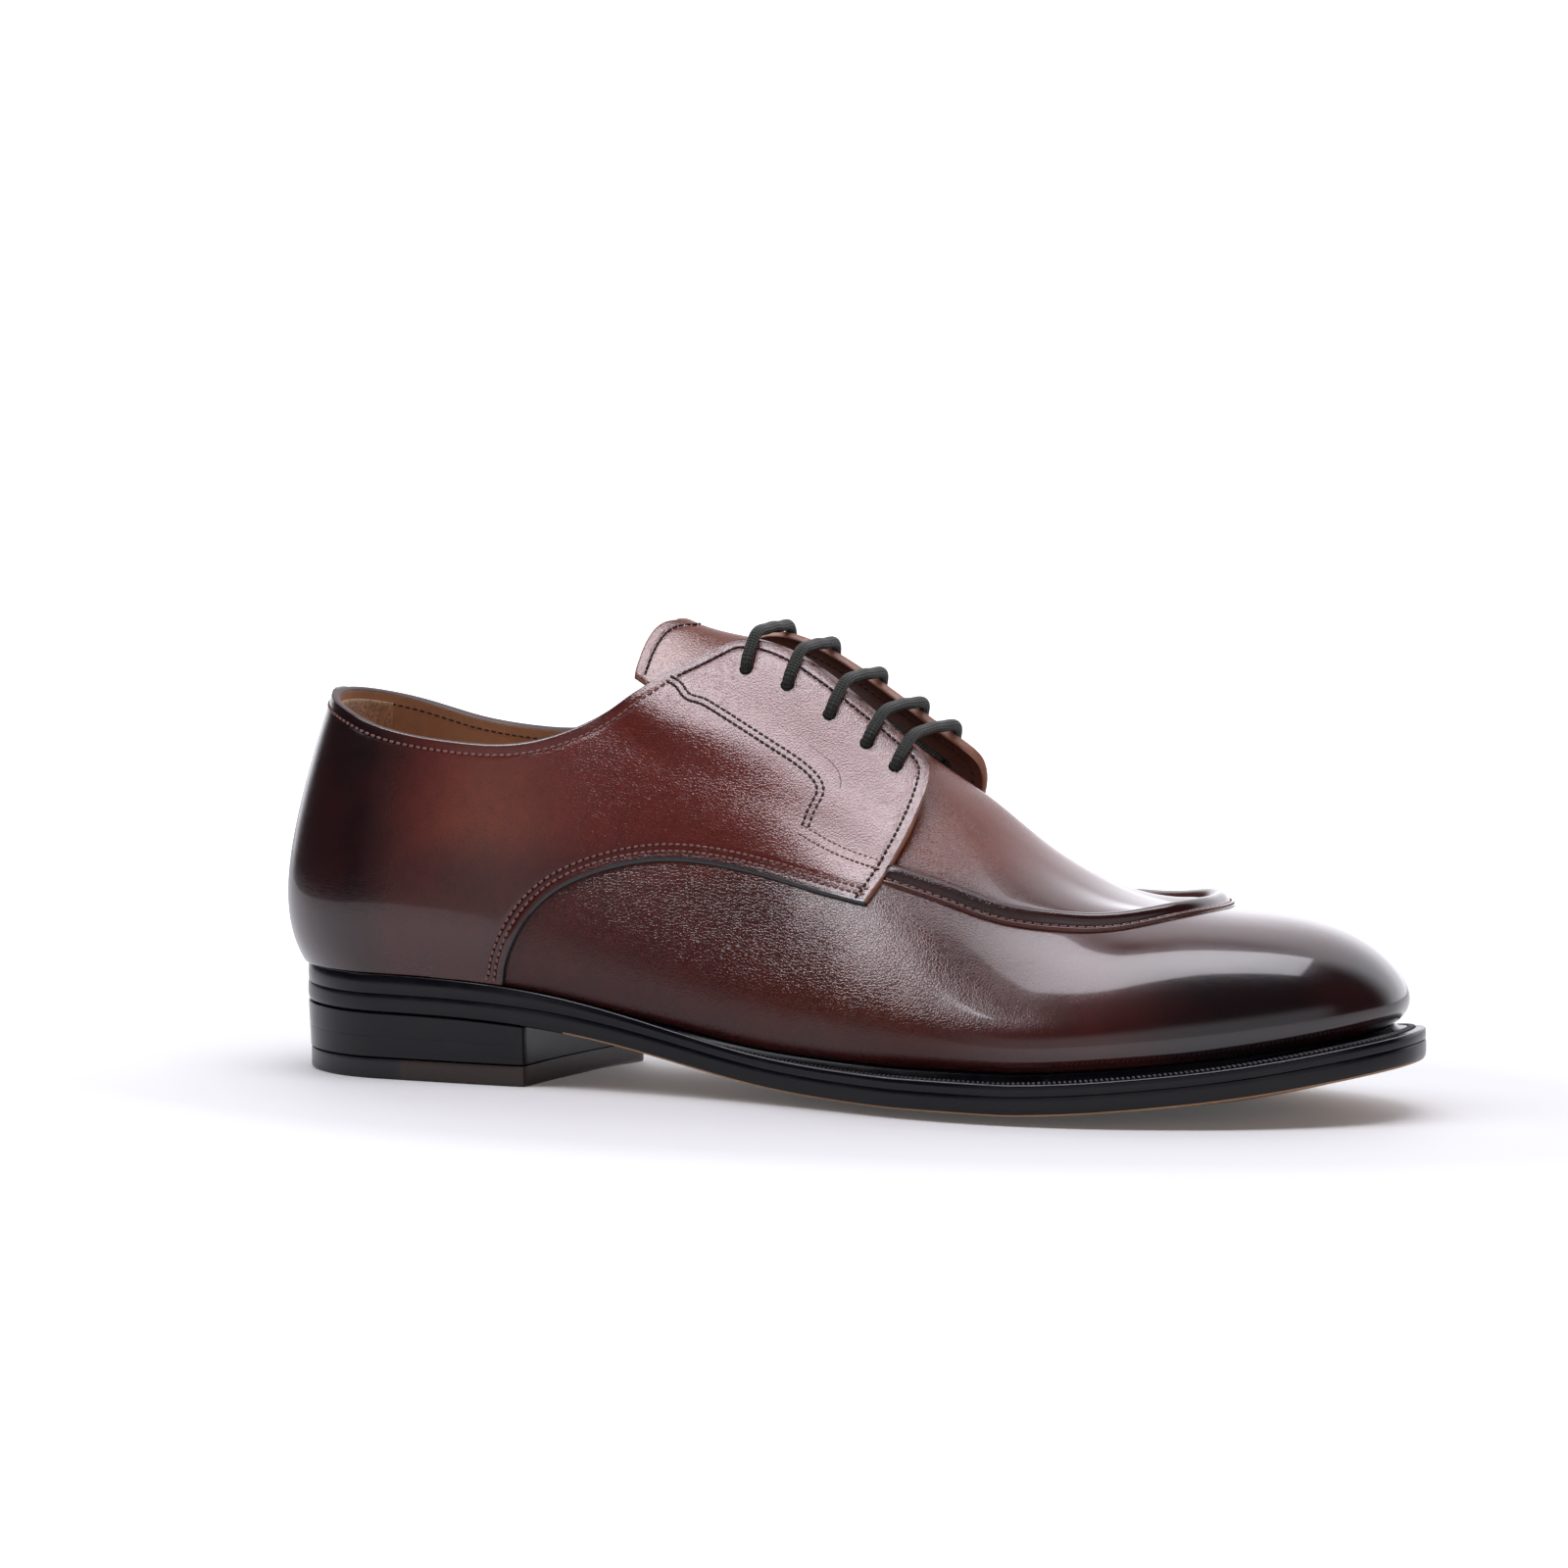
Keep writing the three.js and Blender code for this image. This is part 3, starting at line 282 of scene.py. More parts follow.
def shell_point(angle, up, offset):
    """A point off the last. The bottom row lies on the feather height, over the welt."""
    up = np.broadcast_to(np.asarray(up, float), np.broadcast(angle, up, offset).shape)
    point = last_point(angle, up) + last_normal(angle, up) * np.asarray(offset, float)[..., None]
    floor = feather_height(np.clip(point[..., 0], last_start, last_start + last_length))
    point[..., 2] = np.where(up == 0, floor, np.maximum(point[..., 2], floor))
    return point


def up_at(angle, height):
    """Share of the way up for a height on the side of the last."""
    foot = feather_point(angle)
    at = last_share(foot[..., 0])
    rise = crown_height(spine_at(foot[..., 0])) - foot[..., 2]
    full = np.where(np.mod(angle, TURN) <= math.pi, section.outer(at), section.inner(at))
    return np.arcsin(np.clip((height - foot[..., 2]) / rise, 0, 1) ** (full / 2)) * 2 / math.pi


def sole_outline(angle, inset=0.0):
    """Plan of the sole's edge, drawn in by inset, and the centre that it is drawn towards."""
    x = sole_length * (1 - np.cos(angle)) / 2
    at = x / sole_length
    heel_radius, toe_radius = 0.104 * sole_length, 0.14 * sole_length
    ends = end_round(x, 0, sole_length, heel_radius, toe_radius, 2.3)
    half = breadth(at) * ends * np.where(angle <= math.pi, -sole_line.outer(at), sole_line.inner(at))
    edge = np.stack([x, half + swing(at)], -1)
    spine_x = np.clip(x, heel_radius, sole_length - toe_radius)
    centre = np.stack([spine_x, swing(spine_x / sole_length)], -1)
    reach = np.linalg.norm(edge - centre, axis=-1, keepdims=True)
    return lerp(edge, centre, np.clip(inset / reach, 0, 1)), centre


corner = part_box("outsole")[0] * 1000
frame_shift = np.array([corner.x, corner.y - sole_outline(np.arange(60) * TURN / 60)[0][:, 1].min(), 0])


def add_object(name, data):
    thing = bpy.data.objects.new(name, data)
    bpy.context.scene.collection.objects.link(thing)
    return thing


def mesh_of(name, points, faces, materials, face_materials=None, sharp=None, finest=1e-6):
    """A smooth mesh object in the frame, from points in the shoe's own millimetres."""
    mesh = bpy.data.meshes.new(name)
    mesh.from_pydata((np.asarray(points) + frame_shift) / 1000, [], faces)
    for material in materials:
        mesh.materials.append(material)
    if face_materials is not None:
        mesh.polygons.foreach_set("material_index", face_materials)
    build = bmesh.new()
    build.from_mesh(mesh)
    bmesh.ops.remove_doubles(build, verts=build.verts, dist=finest)
    bmesh.ops.dissolve_degenerate(build, dist=finest, edges=build.edges)
    bmesh.ops.recalc_face_normals(build, faces=build.faces)
    build.to_mesh(mesh)
    build.free()
    mesh.polygons.foreach_set("use_smooth", [True] * len(mesh.polygons))
    if sharp:
        mesh.set_sharp_from_angle(angle=math.radians(sharp))
    return add_object(name, mesh)


def shell(name, outer, inner, materials, slot_of=None, rim_of=None, back_of=None, ring=False,
          is_zipped=None, rim=4, bulge=0.3):
    """A closed wall between two grids (columns, rows, 3) with rounded rims. Material 0 is the outer
    face, 1 the inner and 2 the rim, unless slot_of, back_of or rim_of gives another by column and row.
    Where is_zipped says so, the top edge meets another column's, and has no rim."""
    columns, count = outer.shape[:2]
    size = columns * count
    face_points, back_points = outer.reshape(-1, 3), inner.reshape(-1, 3)
    faces, slots, border = [], [], {}
    for i in range(columns if ring else columns - 1):
        k = (i + 1) % columns
        for j in range(count - 1):
            quad = (i * count + j, k * count + j, k * count + j + 1, i * count + j + 1)
            faces += [quad, tuple(size + v for v in reversed(quad))]
            slots += [slot_of(i, j) if slot_of else 0, back_of(i, j) if back_of else 1]
            for n in range(4):
                u, v = quad[n], quad[(n + 1) % 4]
                if border.pop((v, u), None) is None:
                    border[u, v] = (quad[n - 1], quad[(n + 2) % 4])
    if is_zipped:
        border = {(u, v): ends for (u, v), ends in border.items()
                  if u % count < count - 1 or v % count < count - 1 or not is_zipped(min(u, v) // count)}
    out = np.zeros_like(face_points)
    for (u, v), (from_u, from_v) in border.items():
        out[u] += face_points[u] - face_points[from_u]
        out[v] += face_points[v] - face_points[from_v]
    used = np.array(sorted({v for edge in border for v in edge}))
    half = (face_points[used] - back_points[used]) / 2
    thick = np.linalg.norm(half, axis=1, keepdims=True) + 1e-9
    away = out[used]
    away -= half / thick * (away * half / thick).sum(1, keepdims=True)
    away /= np.linalg.norm(away, axis=1, keepdims=True) + 1e-9
    middle = (face_points[used] + back_points[used]) / 2
    points, lines = [face_points, back_points], [dict(zip(used, used))]
    for k in range(1, rim):
        turn = math.pi * k / rim
        lines.append(dict(zip(used, 2 * size + (k - 1) * len(used) + np.arange(len(used)))))
        points.append(middle + half * math.cos(turn) + away * thick * 2 * bulge * math.sin(turn))
    lines.append(dict(zip(used, size + used)))
    for u, v in border:
        for k in range(rim):
            faces.append((lines[k][v], lines[k][u], lines[k + 1][u], lines[k + 1][v]))
            slots.append(rim_of(u // count, u % count) if rim_of else min(2, len(materials) - 1))
    return mesh_of(name, np.concatenate(points), faces, materials, slots)


def paint(piece, **looks):
    """Values for each vertex: a number, or a function of its place in the shoe's own millimetres."""
    mesh = piece.data
    spots = np.empty(len(mesh.vertices) * 3)
    mesh.vertices.foreach_get("co", spots)
    spots = spots.reshape(-1, 3) * 1000 - frame_shift
    for name, look in looks.items():
        value = look(spots) if callable(look) else np.full(len(spots), look)
        layer = mesh.attributes.new(name, "FLOAT", "POINT")
        layer.data.foreach_set("value", np.clip(value, 0, 1).astype(np.float32))


def resample(line, step):
    """The same line with points a fixed step apart."""
    gone = gone_along(line)
    at = np.linspace(0, gone[-1], max(2, int(gone[-1] / step) + 1))
    return np.stack([np.interp(at, gone, line[:, k]) for k in range(3)], 1)


def distance_to(line):
    """How far places are from a line, in millimetres."""
    line = resample(line, 0.25)
    tree = KDTree(len(line))
    for i, spot in enumerate(line):
        tree.insert(spot, i)
    tree.balance()

    def gap(spots):
        found = [tree.find(spot)[2] for spot in spots.reshape(-1, 3)]
        return np.array(found).reshape(spots.shape[:-1])

    return gap


class Nodes:
    """Adds and links nodes of one tree by short calls."""

    def __init__(self, tree):
        self.tree = tree

    def add(self, kind, settings=None, **inputs):
        node = self.tree.nodes.new(kind)
        for key, value in (settings or {}).items():
            setattr(node, key, value)
        for key, value in inputs.items():
            socket = node.inputs[int(key[1:])] if key[0] == "_" else node.inputs[key.replace("_", " ")]
            self.set(socket, value)
        return node

    def set(self, socket, value):
        if isinstance(value, bpy.types.NodeSocket):
            self.tree.links.new(value, socket)
        elif isinstance(value, bpy.types.Node):
            self.tree.links.new(value.outputs[0], socket)
        else:
            socket.default_value = value

    def math(self, operation, a, b=0.0, clamp=False):
        return self.add("ShaderNodeMath", {"operation": operation, "use_clamp": clamp}, _0=a, _1=b)

    def mix(self, share, a, b):
        node = self.add("ShaderNodeMix", {"data_type": "RGBA"})
        for socket, value in zip((node.inputs[0], node.inputs[6], node.inputs[7]), (share, a, b)):
            self.set(socket, value)
        return node.outputs[2]

    def range(self, value, low, high, to_low=0.0, to_high=1.0):
        return self.add("ShaderNodeMapRange", {}, _0=value, _1=low, _2=high, _3=to_low, _4=to_high)

    def value_of(self, name):
        return self.add("ShaderNodeAttribute", {"attribute_name": name}).outputs["Fac"]

    def noise(self, place, scale, detail=2.0, roughness=0.5):
        return self.add("ShaderNodeTexNoise", {}, Vector=place, Scale=scale, Detail=detail,
                        Roughness=roughness)

    def shade(self, surface, **values):
        """Gives inputs of the surface shader a constant or a link."""
        for key, value in values.items():
            self.set(surface.inputs[key.replace("_", " ")], value)

    def bump(self, surface, height, strength, distance, under=None):
        """Bends the surface's normals by a height that is distance metres deep."""
        node = self.add("ShaderNodeBump", {}, Strength=strength, Distance=distance, Height=height)
        if under is not None:
            self.set(node.inputs["Normal"], under)
        self.shade(surface, Normal=node)


def colour(red, green, blue):
    return (red, green, blue, 1.0)


def new_material(name):
    material = bpy.data.materials.new(name)
    material.use_nodes = True
    tree = Nodes(material.node_tree)
    surface = material.node_tree.nodes["Principled BSDF"]
    place = tree.add("ShaderNodeTexCoord").outputs["Object"]
    return material, tree, surface, place


def new_group(name, inputs, outputs):
    group = bpy.data.node_groups.new(name, "ShaderNodeTree")
    for label, kind, value in inputs:
        socket = group.interface.new_socket(label, in_out="INPUT", socket_type=kind)
        if value is not None:
            socket.default_value = value
    for label, kind in outputs:
        group.interface.new_socket(label, in_out="OUTPUT", socket_type=kind)
    tree = Nodes(group)
    return group, tree, tree.add("NodeGroupInput").outputs, tree.add("NodeGroupOutput")


# Fine pores and creases of calf, as a height and a mask of the low places
grain_group, grain, given, result = new_group(
    "leather grain",
    [("Place", "NodeSocketVector", None), ("Pores per metre", "NodeSocketFloat", 1500.0),
     ("Softness", "NodeSocketFloat", 0.5)],
    [("Height", "NodeSocketFloat"), ("Low places", "NodeSocketFloat")],
)
warp = grain.noise(given["Place"], 420.0, 2.0)
shift = grain.add("ShaderNodeVectorMath", {"operation": "SCALE"}, _0=warp.outputs["Color"], Scale=0.0009)
warped = grain.add("ShaderNodeVectorMath", {"operation": "ADD"}, _0=given["Place"], _1=shift.outputs[0])
cells = grain.add("ShaderNodeTexVoronoi", {"feature": "DISTANCE_TO_EDGE"}, Vector=warped.outputs[0],
                  Scale=given["Pores per metre"])
pebble = grain.range(cells.outputs["Distance"], 0.0, 0.22)
long_noise = grain.noise(given["Place"], 900.0, 3.0, 0.6)
blend = grain.add("ShaderNodeMix", {"data_type": "FLOAT"}, _0=given["Softness"], _2=pebble,
                  _3=long_noise.outputs[0])
grain.set(result.inputs["Height"], blend.outputs[0])
grain.set(result.inputs["Low places"], grain.range(blend.outputs[0], 0.55, 0.1))


def leather(name, mid, dark, glow, pores=1300.0, depth=0.00007, satin=0.22, coat_roughness=0.07):
    """Burnished calf: the dye darkens by the painted value burnish, which holds burnishing and, on the
    tongue, painted shade; it warms by glow and is polished by gloss, from a satin face to a mirror."""
    material, tree, surface, place = new_material(name)
    cloudy = tree.noise(place, 38.0, 4.0, 0.6).outputs[0]
    burnish = tree.math("ADD", tree.value_of("burnish"), tree.range(cloudy, 0.3, 0.7, -0.10, 0.10), True)
    mottle = tree.range(tree.noise(place, 260.0, 3.0, 0.6).outputs[0], 0.35, 0.75)
    glowing = tree.math("MULTIPLY", tree.value_of("glow"), tree.range(cloudy, 0.2, 0.6, 0.75, 1.0))
    warm = tree.mix(glowing, mid, glow)
    dyed = tree.mix(tree.math("MULTIPLY", mottle, 0.2), warm, dark)
    fine = tree.add("ShaderNodeGroup", {"node_tree": grain_group}, Place=place, Pores_per_metre=pores)
    dyed = tree.mix(tree.math("MULTIPLY", fine.outputs["Low places"], 0.35), dyed, dark)
    gloss = tree.value_of("gloss")
    tree.shade(surface, Base_Color=tree.mix(burnish, dyed, dark), Specular_IOR_Level=0.42,
               Roughness=tree.range(gloss, 0.0, 1.0, satin, 0.22), Coat_Roughness=coat_roughness,
               Coat_Weight=tree.range(gloss, 0.3, 1.0, 0.0, 1.0), Coat_IOR=1.5)
    ripple = tree.noise(place, 120.0, 2.0).outputs[0]
    wide = tree.add("ShaderNodeBump", {}, Strength=0.35, Distance=0.0003, Height=ripple)
    strength = tree.range(gloss, 0.0, 1.0, 1.0, 0.12)
    tree.bump(surface, fine.outputs["Height"], strength, depth, wide)
    return material


def plain_leather(name, base, dark, roughness, pores, depth, coat=0.0):
    """Undyed or flat dyed leather, with pores, faint clouds and no burnish."""
    base, dark = colour(*base), colour(*dark)
    material, tree, surface, place = new_material(name)
    cloudy = tree.noise(place, 60.0, 5.0, 0.65).outputs[0]
    fine = tree.add("ShaderNodeGroup", {"node_tree": grain_group}, Place=place, Pores_per_metre=pores)
    mixed = tree.mix(tree.range(cloudy, 0.3, 0.75), base, dark)
    low = tree.math("MULTIPLY", fine.outputs["Low places"], 0.5)
    tree.shade(surface, Base_Color=tree.mix(low, mixed, dark), Coat_Weight=coat, Coat_Roughness=0.15,
               Roughness=tree.range(cloudy, 0.2, 0.8, roughness - 0.08, roughness + 0.08))
    tree.bump(surface, fine.outputs["Height"], 0.7, depth)
    return material


lining_leather = plain_leather("lining leather", (0.62, 0.33, 0.18), (0.42, 0.21, 0.10), 0.5, 1100, 0.00008)

insole_inset = max(wall, quarter_wall - quarter_step) + 2 * clearance
turns = np.linspace(0, TURN, 181)[:-1]
foot = feather_point(turns)
sock_spine = spine_at(foot[:, 0])
sock_centre = np.stack([sock_spine, swing(last_share(sock_spine))], -1)
to_centre = sock_centre - foot[:, :2]
sock_edge = foot[:, :2] + to_centre * (insole_inset / np.linalg.norm(to_centre, axis=1))[:, None]
sock_rings = [0.02, 0.3, 0.55, 0.75, 0.88, 0.96, 1.0]
sock_plan = np.stack([lerp(sock_centre, sock_edge, share) for share in sock_rings], 1)
dish = 0.9 * (1 - np.array(sock_rings) ** 2)[None, :]
under = np.dstack([sock_plan, feather_height(sock_plan[..., 0]) + 0.1])
over = np.dstack([sock_plan, feather_height(sock_plan[..., 0]) + insole_thickness - dish])
insole = shell("insole", over, under, [lining_leather, lining_leather], ring=True, bulge=0.1)
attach(insole, "root")
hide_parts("insole")

# Vamp with its apron
# One piece of calf lasted over the forefoot. The plug's edge is turned up into a round bead, closed
# by a row of stitches through a narrow flat lip, and its cut edge shows as a light line.
side_height = 86.8
hidden_lap = 8.0
apron_roll_width = 6.0
seam_line = Table(
    "at up",
    (0.225, 0.300), (0.240, 0.423), (0.263, 0.540), (0.295, 0.616), (0.335, 0.663), (0.376, 0.686),
    (0.419, 0.684), (0.490, 0.648), (0.533, 0.617), (0.573, 0.592),
)
throat_start = last_start + 0.513 * last_length
throat_end = last_start + 0.547 * last_length
seam_foot_x = last_start + seam_line.x[0] * last_length
vamp_start = seam_foot_x - hidden_lap
apron_start = last_start + 0.574 * last_length
apron_tip = last_start + 0.844 * last_length
apron_squareness = 2.6
apron_outer, apron_inner, apron_centre = 0.335 * ball_width, 0.275 * ball_width, 0.05 * ball_width

# The seam across: millimetres from its middle towards the plug, and height over the last
seam_rows = [
    (-5.0, 0.00), (-4.2, 0.00), (-3.6, -0.02), (-3.3, -0.14), (-3.08, -0.20), (-3.0, 0.10), (-2.98, 0.55),
    (-2.86, 0.74), (-2.6, 0.80), (-2.3, 0.74), (-2.05, 0.64), (-1.8, 0.68), (-1.55, 0.86), (-1.3, 1.25),
    (-0.95, 1.75), (-0.5, 2.20), (0.0, 2.50), (0.5, 2.66), (1.0, 2.66), (1.5, 2.46), (1.95, 2.05),
    (2.3, 1.50), (2.55, 0.90), (2.75, 0.30), (2.95, -0.22), (3.15, -0.28), (3.4, -0.12), (3.9, 0.00),
]
seam_half = 3.0
cut_edge_row = 5
plug_dish = 2.2
far_roll_x, far_roll_spread, far_roll_rise = 212, 22, 0.6


def seam_height(x):
    return side_height * seam_line.up(last_share(x))


def vamp_top(angle):
    """The share of the way up where the vamp ends, under the quarter and round the throat."""
    x = feather_point(angle)[..., 0]
    lapped = up_at(angle, seam_height(np.minimum(x + hidden_lap / 2, throat_end)) + hidden_lap)
    return lerp(lapped, 1, np.clip((x - throat_start) / (throat_end - throat_start), 0, 1))


def is_inside_apron(point):
    along = np.clip((point[..., 0] - apron_start) / (apron_tip - apron_start), 0, 2)
    aside = point[..., 1] - apron_centre
    wide = np.where(aside < 0, apron_outer, apron_inner)
    return along**apron_squareness + (np.abs(aside) / wide) ** apron_squareness < 1


def apron_seam(angle):
    """The share of the way up where the seam's middle lies, and millimetres for a share there."""
    low, high = np.full(angle.shape, 0.1), np.ones(angle.shape)
    for _ in range(40):
        middle = (low + high) / 2
        is_wall = ~is_inside_apron(last_point(angle, middle))
        low, high = np.where(is_wall, middle, low), np.where(is_wall, high, middle)
    step = 0.02
    girth = np.linalg.norm(last_point(angle, low) - last_point(angle, low - step), axis=-1) / step
    return low, girth


def vamp_rows(angle):
    """Shares of the way up and heights of one half column of the vamp, for every angle."""
    x = feather_point(angle)[..., 0]
    top = np.where(x >= throat_end, 1.0, vamp_top(angle))
    start_share = smooth((x - throat_start) / (apron_start - throat_start))
    seam, girth = apron_seam(angle)
    middle = lerp(0.62 * top, seam, start_share)
    half = lerp(0.05 * top, seam_half / girth, start_share)
    rise = smooth((x - apron_start) / (0.9 * apron_roll_width))
    far_rise = far_roll_rise * hump(x, far_roll_x, far_roll_spread)
    rise = rise * (1 + np.where(angle > math.pi, far_rise, 0))
    wall_shares = np.concatenate([[0, 0.012, 0.03, 0.055], np.linspace(0.085, 1, 34)[:-1]])
    across, high = np.array(seam_rows).T
    roll_up = middle[:, None] + across[None, :] / seam_half * half[:, None]
    wall_up = wall_shares[None, :] * roll_up[:, :1]
    plug_steps = np.linspace(0, 1, 30)[None, 1:]
    plug_up = lerp(roll_up[:, -1:], top[:, None], plug_steps**0.85)
    wall_high = np.zeros(wall_up.shape)
    dished = smooth((spine_at(x) - 180) / 40)[:, None] * smooth(plug_steps * 1.6)
    plug_high = -plug_dish * dished
    ups = np.concatenate([wall_up, roll_up, plug_up], 1)
    heights = np.concatenate([wall_high, high[None, :] * rise[:, None], plug_high], 1)
    return np.clip(ups, 0, 1), heights, len(wall_shares)


half_angles = np.concatenate([
    np.linspace(angle_at(vamp_start), angle_at(throat_end), 40)[:-1],
    np.linspace(angle_at(throat_end), math.pi, 150),
])
vamp_angles = np.concatenate([half_angles, TURN - half_angles[-2::-1]])
vamp_up, vamp_high, roll_row = vamp_rows(vamp_angles)
vamp_outer = shell_point(vamp_angles[:, None], vamp_up, vamp_high)
vamp_inner = shell_point(vamp_angles[:, None], vamp_up, np.minimum(vamp_high, 0) - wall)
is_closed = feather_point(vamp_angles)[:, 0] > throat_end - 1e-6

burnished_calf = leather(
    "burnished calf", colour(0.140, 0.019, 0.012), colour(0.009, 0.003, 0.004), colour(0.20, 0.040, 0.012),
)
cut_edge = plain_leather("cut edge", (0.42, 0.17, 0.09), (0.16, 0.05, 0.03), 0.6, 1500, 0.00004)
lip_edge = plain_leather("lip edge", (0.22, 0.075, 0.04), (0.09, 0.03, 0.02), 0.6, 1500, 0.00004)
rim_ink = plain_leather("rim ink", (0.060, 0.020, 0.014), (0.025, 0.010, 0.008), 0.62, 1500, 0.00003)
edge_ink = plain_leather("edge ink", (0.020, 0.016, 0.016), (0.008, 0.007, 0.008), 0.35, 1800, 0.00005, 0.4)
is_on_apron = feather_point(vamp_angles)[:, 0] > apron_start + 1
vamp = shell(
    "vamp", vamp_outer, vamp_inner, [burnished_calf, lining_leather, edge_ink, lip_edge],
    slot_of=lambda i, j: 3 if j - roll_row == cut_edge_row and is_on_apron[i] else 0,
    is_zipped=lambda i: is_closed[i] and is_closed[i + 1], bulge=0.15,
)
seam_up, seam_girth = apron_seam(vamp_angles)
is_stitched = feather_point(vamp_angles)[:, 0] > apron_start + 2
to_apron = distance_to(shell_point(vamp_angles[is_stitched], seam_up[is_stitched], 1.2))


def toe_dark(p):
    """The toe is burnished nearly black, and its wall sooner than its top."""
    low = smooth((52 - p[:, 2]) / 16)
    return smooth((p[:, 0] - 190) / 75) * lerp(0.5, 1.0, low)


def wall_dark(p):
    """The wall is darker than the plug, and darkest just over the welt."""
    over_welt = np.maximum(0, p[:, 2] - feather_height(p[:, 0]))
    return lerp(0.55 * smooth((64 - p[:, 2]) / 12), 0.8, np.exp(-over_welt / 3.5))


def vamp_burnish(p):
    bead = 0.55 * np.exp(-((to_apron(p) / 3.2) ** 4)) + 0.3 * np.exp(-((to_apron(p) / 5.0) ** 2))
    return np.maximum.reduce([toe_dark(p), wall_dark(p), bead])


def vamp_glow(p):
    on_plug = hump(p[:, 2], 72, 16) * 0.6
    return np.maximum(on_plug, 0.7 * hump(p[:, 0], 170, 30) * hump(p[:, 2], 30, 12))


def vamp_gloss(p):
    polished = smooth((p[:, 0] - 165) / 70)
    on_bead = 0.5 * np.exp(-((to_apron(p) / 4.0) ** 4))
    return np.clip(polished - on_bead * (1 - smooth((p[:, 0] - 200) / 25)), 0, 1) * 0.95 + 0.05


paint(vamp, burnish=vamp_burnish, glow=vamp_glow, gloss=vamp_gloss)
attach(vamp, "root")

# Quarters
# Two pieces of calf from the heel to the facings, lapped over the vamp and closed by two rows of
# stitches. The facings stand open over the tongue. A tan lining closes the inside.
back_height = 97.6
outer_facing_lift, inner_facing_lift = 5.4, 8.6
inner_facing_forward = 3.0
eyelet_radius = 1.75
eyelet_cut = 4.6
eyelet_margin = 9.0
eyelet_pairs = 5
rim_stitches = 2.6
seam_stitches = (2.2, 3.9)
pressed_lines = ((5.3, 0.16), (6.5, 0.14), (7.7, 0.10))
collar_line = Table(
    "at back side",
    (0.000, 1.000, 0.000), (0.026, 0.800, 0.203), (0.060, 0.560, 0.444), (0.098, 0.310, 0.692),
    (0.136, 0.110, 0.894), (0.180, 0.000, 1.003), (0.221, 0.000, 1.000), (0.255, 0.000, 1.018),
    (0.286, 0.000, 1.056), (0.317, 0.000, 1.113), (0.358, 0.000, 1.205),
)
facing_line = Table(
    "step at up",
    (0.00, 0.5730, 0.436), (0.14, 0.5840, 0.520), (0.28, 0.5915, 0.610), (0.42, 0.5945, 0.700),
    (0.54, 0.5920, 0.780), (0.62, 0.5830, 0.825), (0.70, 0.5600, 0.842), (0.86, 0.4800, 0.842),
    (0.96, 0.4250, 0.842), (1.00, 0.4080, 0.828),
)
tongue_room = quarter_wall - quarter_step + 2 * clearance
foot_share, collar_end, facing_corner, join_t = 0.38, 0.66, 0.60, 0.12


def facing_lift(angle, up):
    """How far the facing stands off the last, over the tongue."""
    share = last_share(feather_point(angle)[..., 0])
    full = np.where(np.mod(angle, TURN) <= math.pi, outer_facing_lift, inner_facing_lift)
    over_tongue = tongue_room * smooth((up - 0.50) / 0.11) * smooth((share - 0.28) / 0.05)
    near_edge = (full - tongue_room) * smooth((up - 0.58) / 0.26) * smooth((share - 0.33) / 0.10)
    return quarter_step + over_tongue + near_edge


def facing_edge(step, is_outer):
    forward = 0 if is_outer else inner_facing_forward * np.sin(math.pi * step) ** 2
    x = last_start + facing_line.at(step) * last_length + forward
    return np.stack([angle_at(x), facing_line.up(step)], -1)


def quarter_bottom(s):
    seam_foot = angle_at(seam_foot_x)
    t = np.clip((s - foot_share) / (1 - foot_share), 0, 1)
    at = lerp(seam_line.x[0], facing_line.at(0), t**1.5)
    on_seam = angle_at(last_start + at * last_length)
    angle = np.where(s <= foot_share, seam_foot * s / foot_share, on_seam)
    up = np.where(s <= foot_share, 0, smooth(t / 0.08) * up_at(on_seam, side_height * seam_line.up(at)))
    return np.stack([angle, up], -1)


def quarter_top(s, is_outer):
    collar_front = angle_at(last_start + collar_line.x[-1] * last_length)
    on_collar = collar_front * np.minimum(s, collar_end) / collar_end
    at = (1 - np.cos(on_collar)) / 2
    collar_height = back_height * collar_line.back(at) + side_height * collar_line.side(at)
    collar_up = up_at(on_collar, collar_height)
    collar = np.stack([on_collar, collar_up], -1)
    t = np.clip((s - collar_end) / (1 - collar_end), 0, 1)
    step = lerp(1, facing_corner, np.clip((t - join_t) / (1 - join_t), 0, 1))
    joined = lerp(collar, facing_edge(1.0, is_outer), np.clip(t / join_t, 0, 1)[..., None])
    facing = np.where((t < join_t)[..., None], joined, facing_edge(step, is_outer))
    return np.where((s <= collar_end)[..., None], collar, facing)


def quarter_spot(s, t, is_outer):
    """Angle and share of the way up, for a share along the quarter and one from its lower edge."""
    s, t = np.broadcast_arrays(np.asarray(s, float), np.asarray(t, float))
    low, high = quarter_bottom(s), quarter_top(s, is_outer)
    bent = facing_edge(facing_corner * t, is_outer)
    straight = lerp(facing_edge(0.0, is_outer), facing_edge(facing_corner, is_outer), t[..., None])
    return lerp(low, high, t[..., None]) + (bent - straight) * s[..., None] ** 5


def quarter_point(s, t, depth, is_outer):
    spot = quarter_spot(s, t, is_outer)
    up = np.where((t == 0) & (s <= foot_share), 0, spot[..., 1])
    angle = on_side(spot[..., 0], is_outer)
    return shell_point(angle, up, facing_lift(angle, up) - depth)


rows_near_edge = (0, 0.3, 0.7, 1.2, 1.8, 2.4, 3.0, 3.8, 4.4, 5.0, 5.6, 6.2, 6.8, 7.4, 8.0)


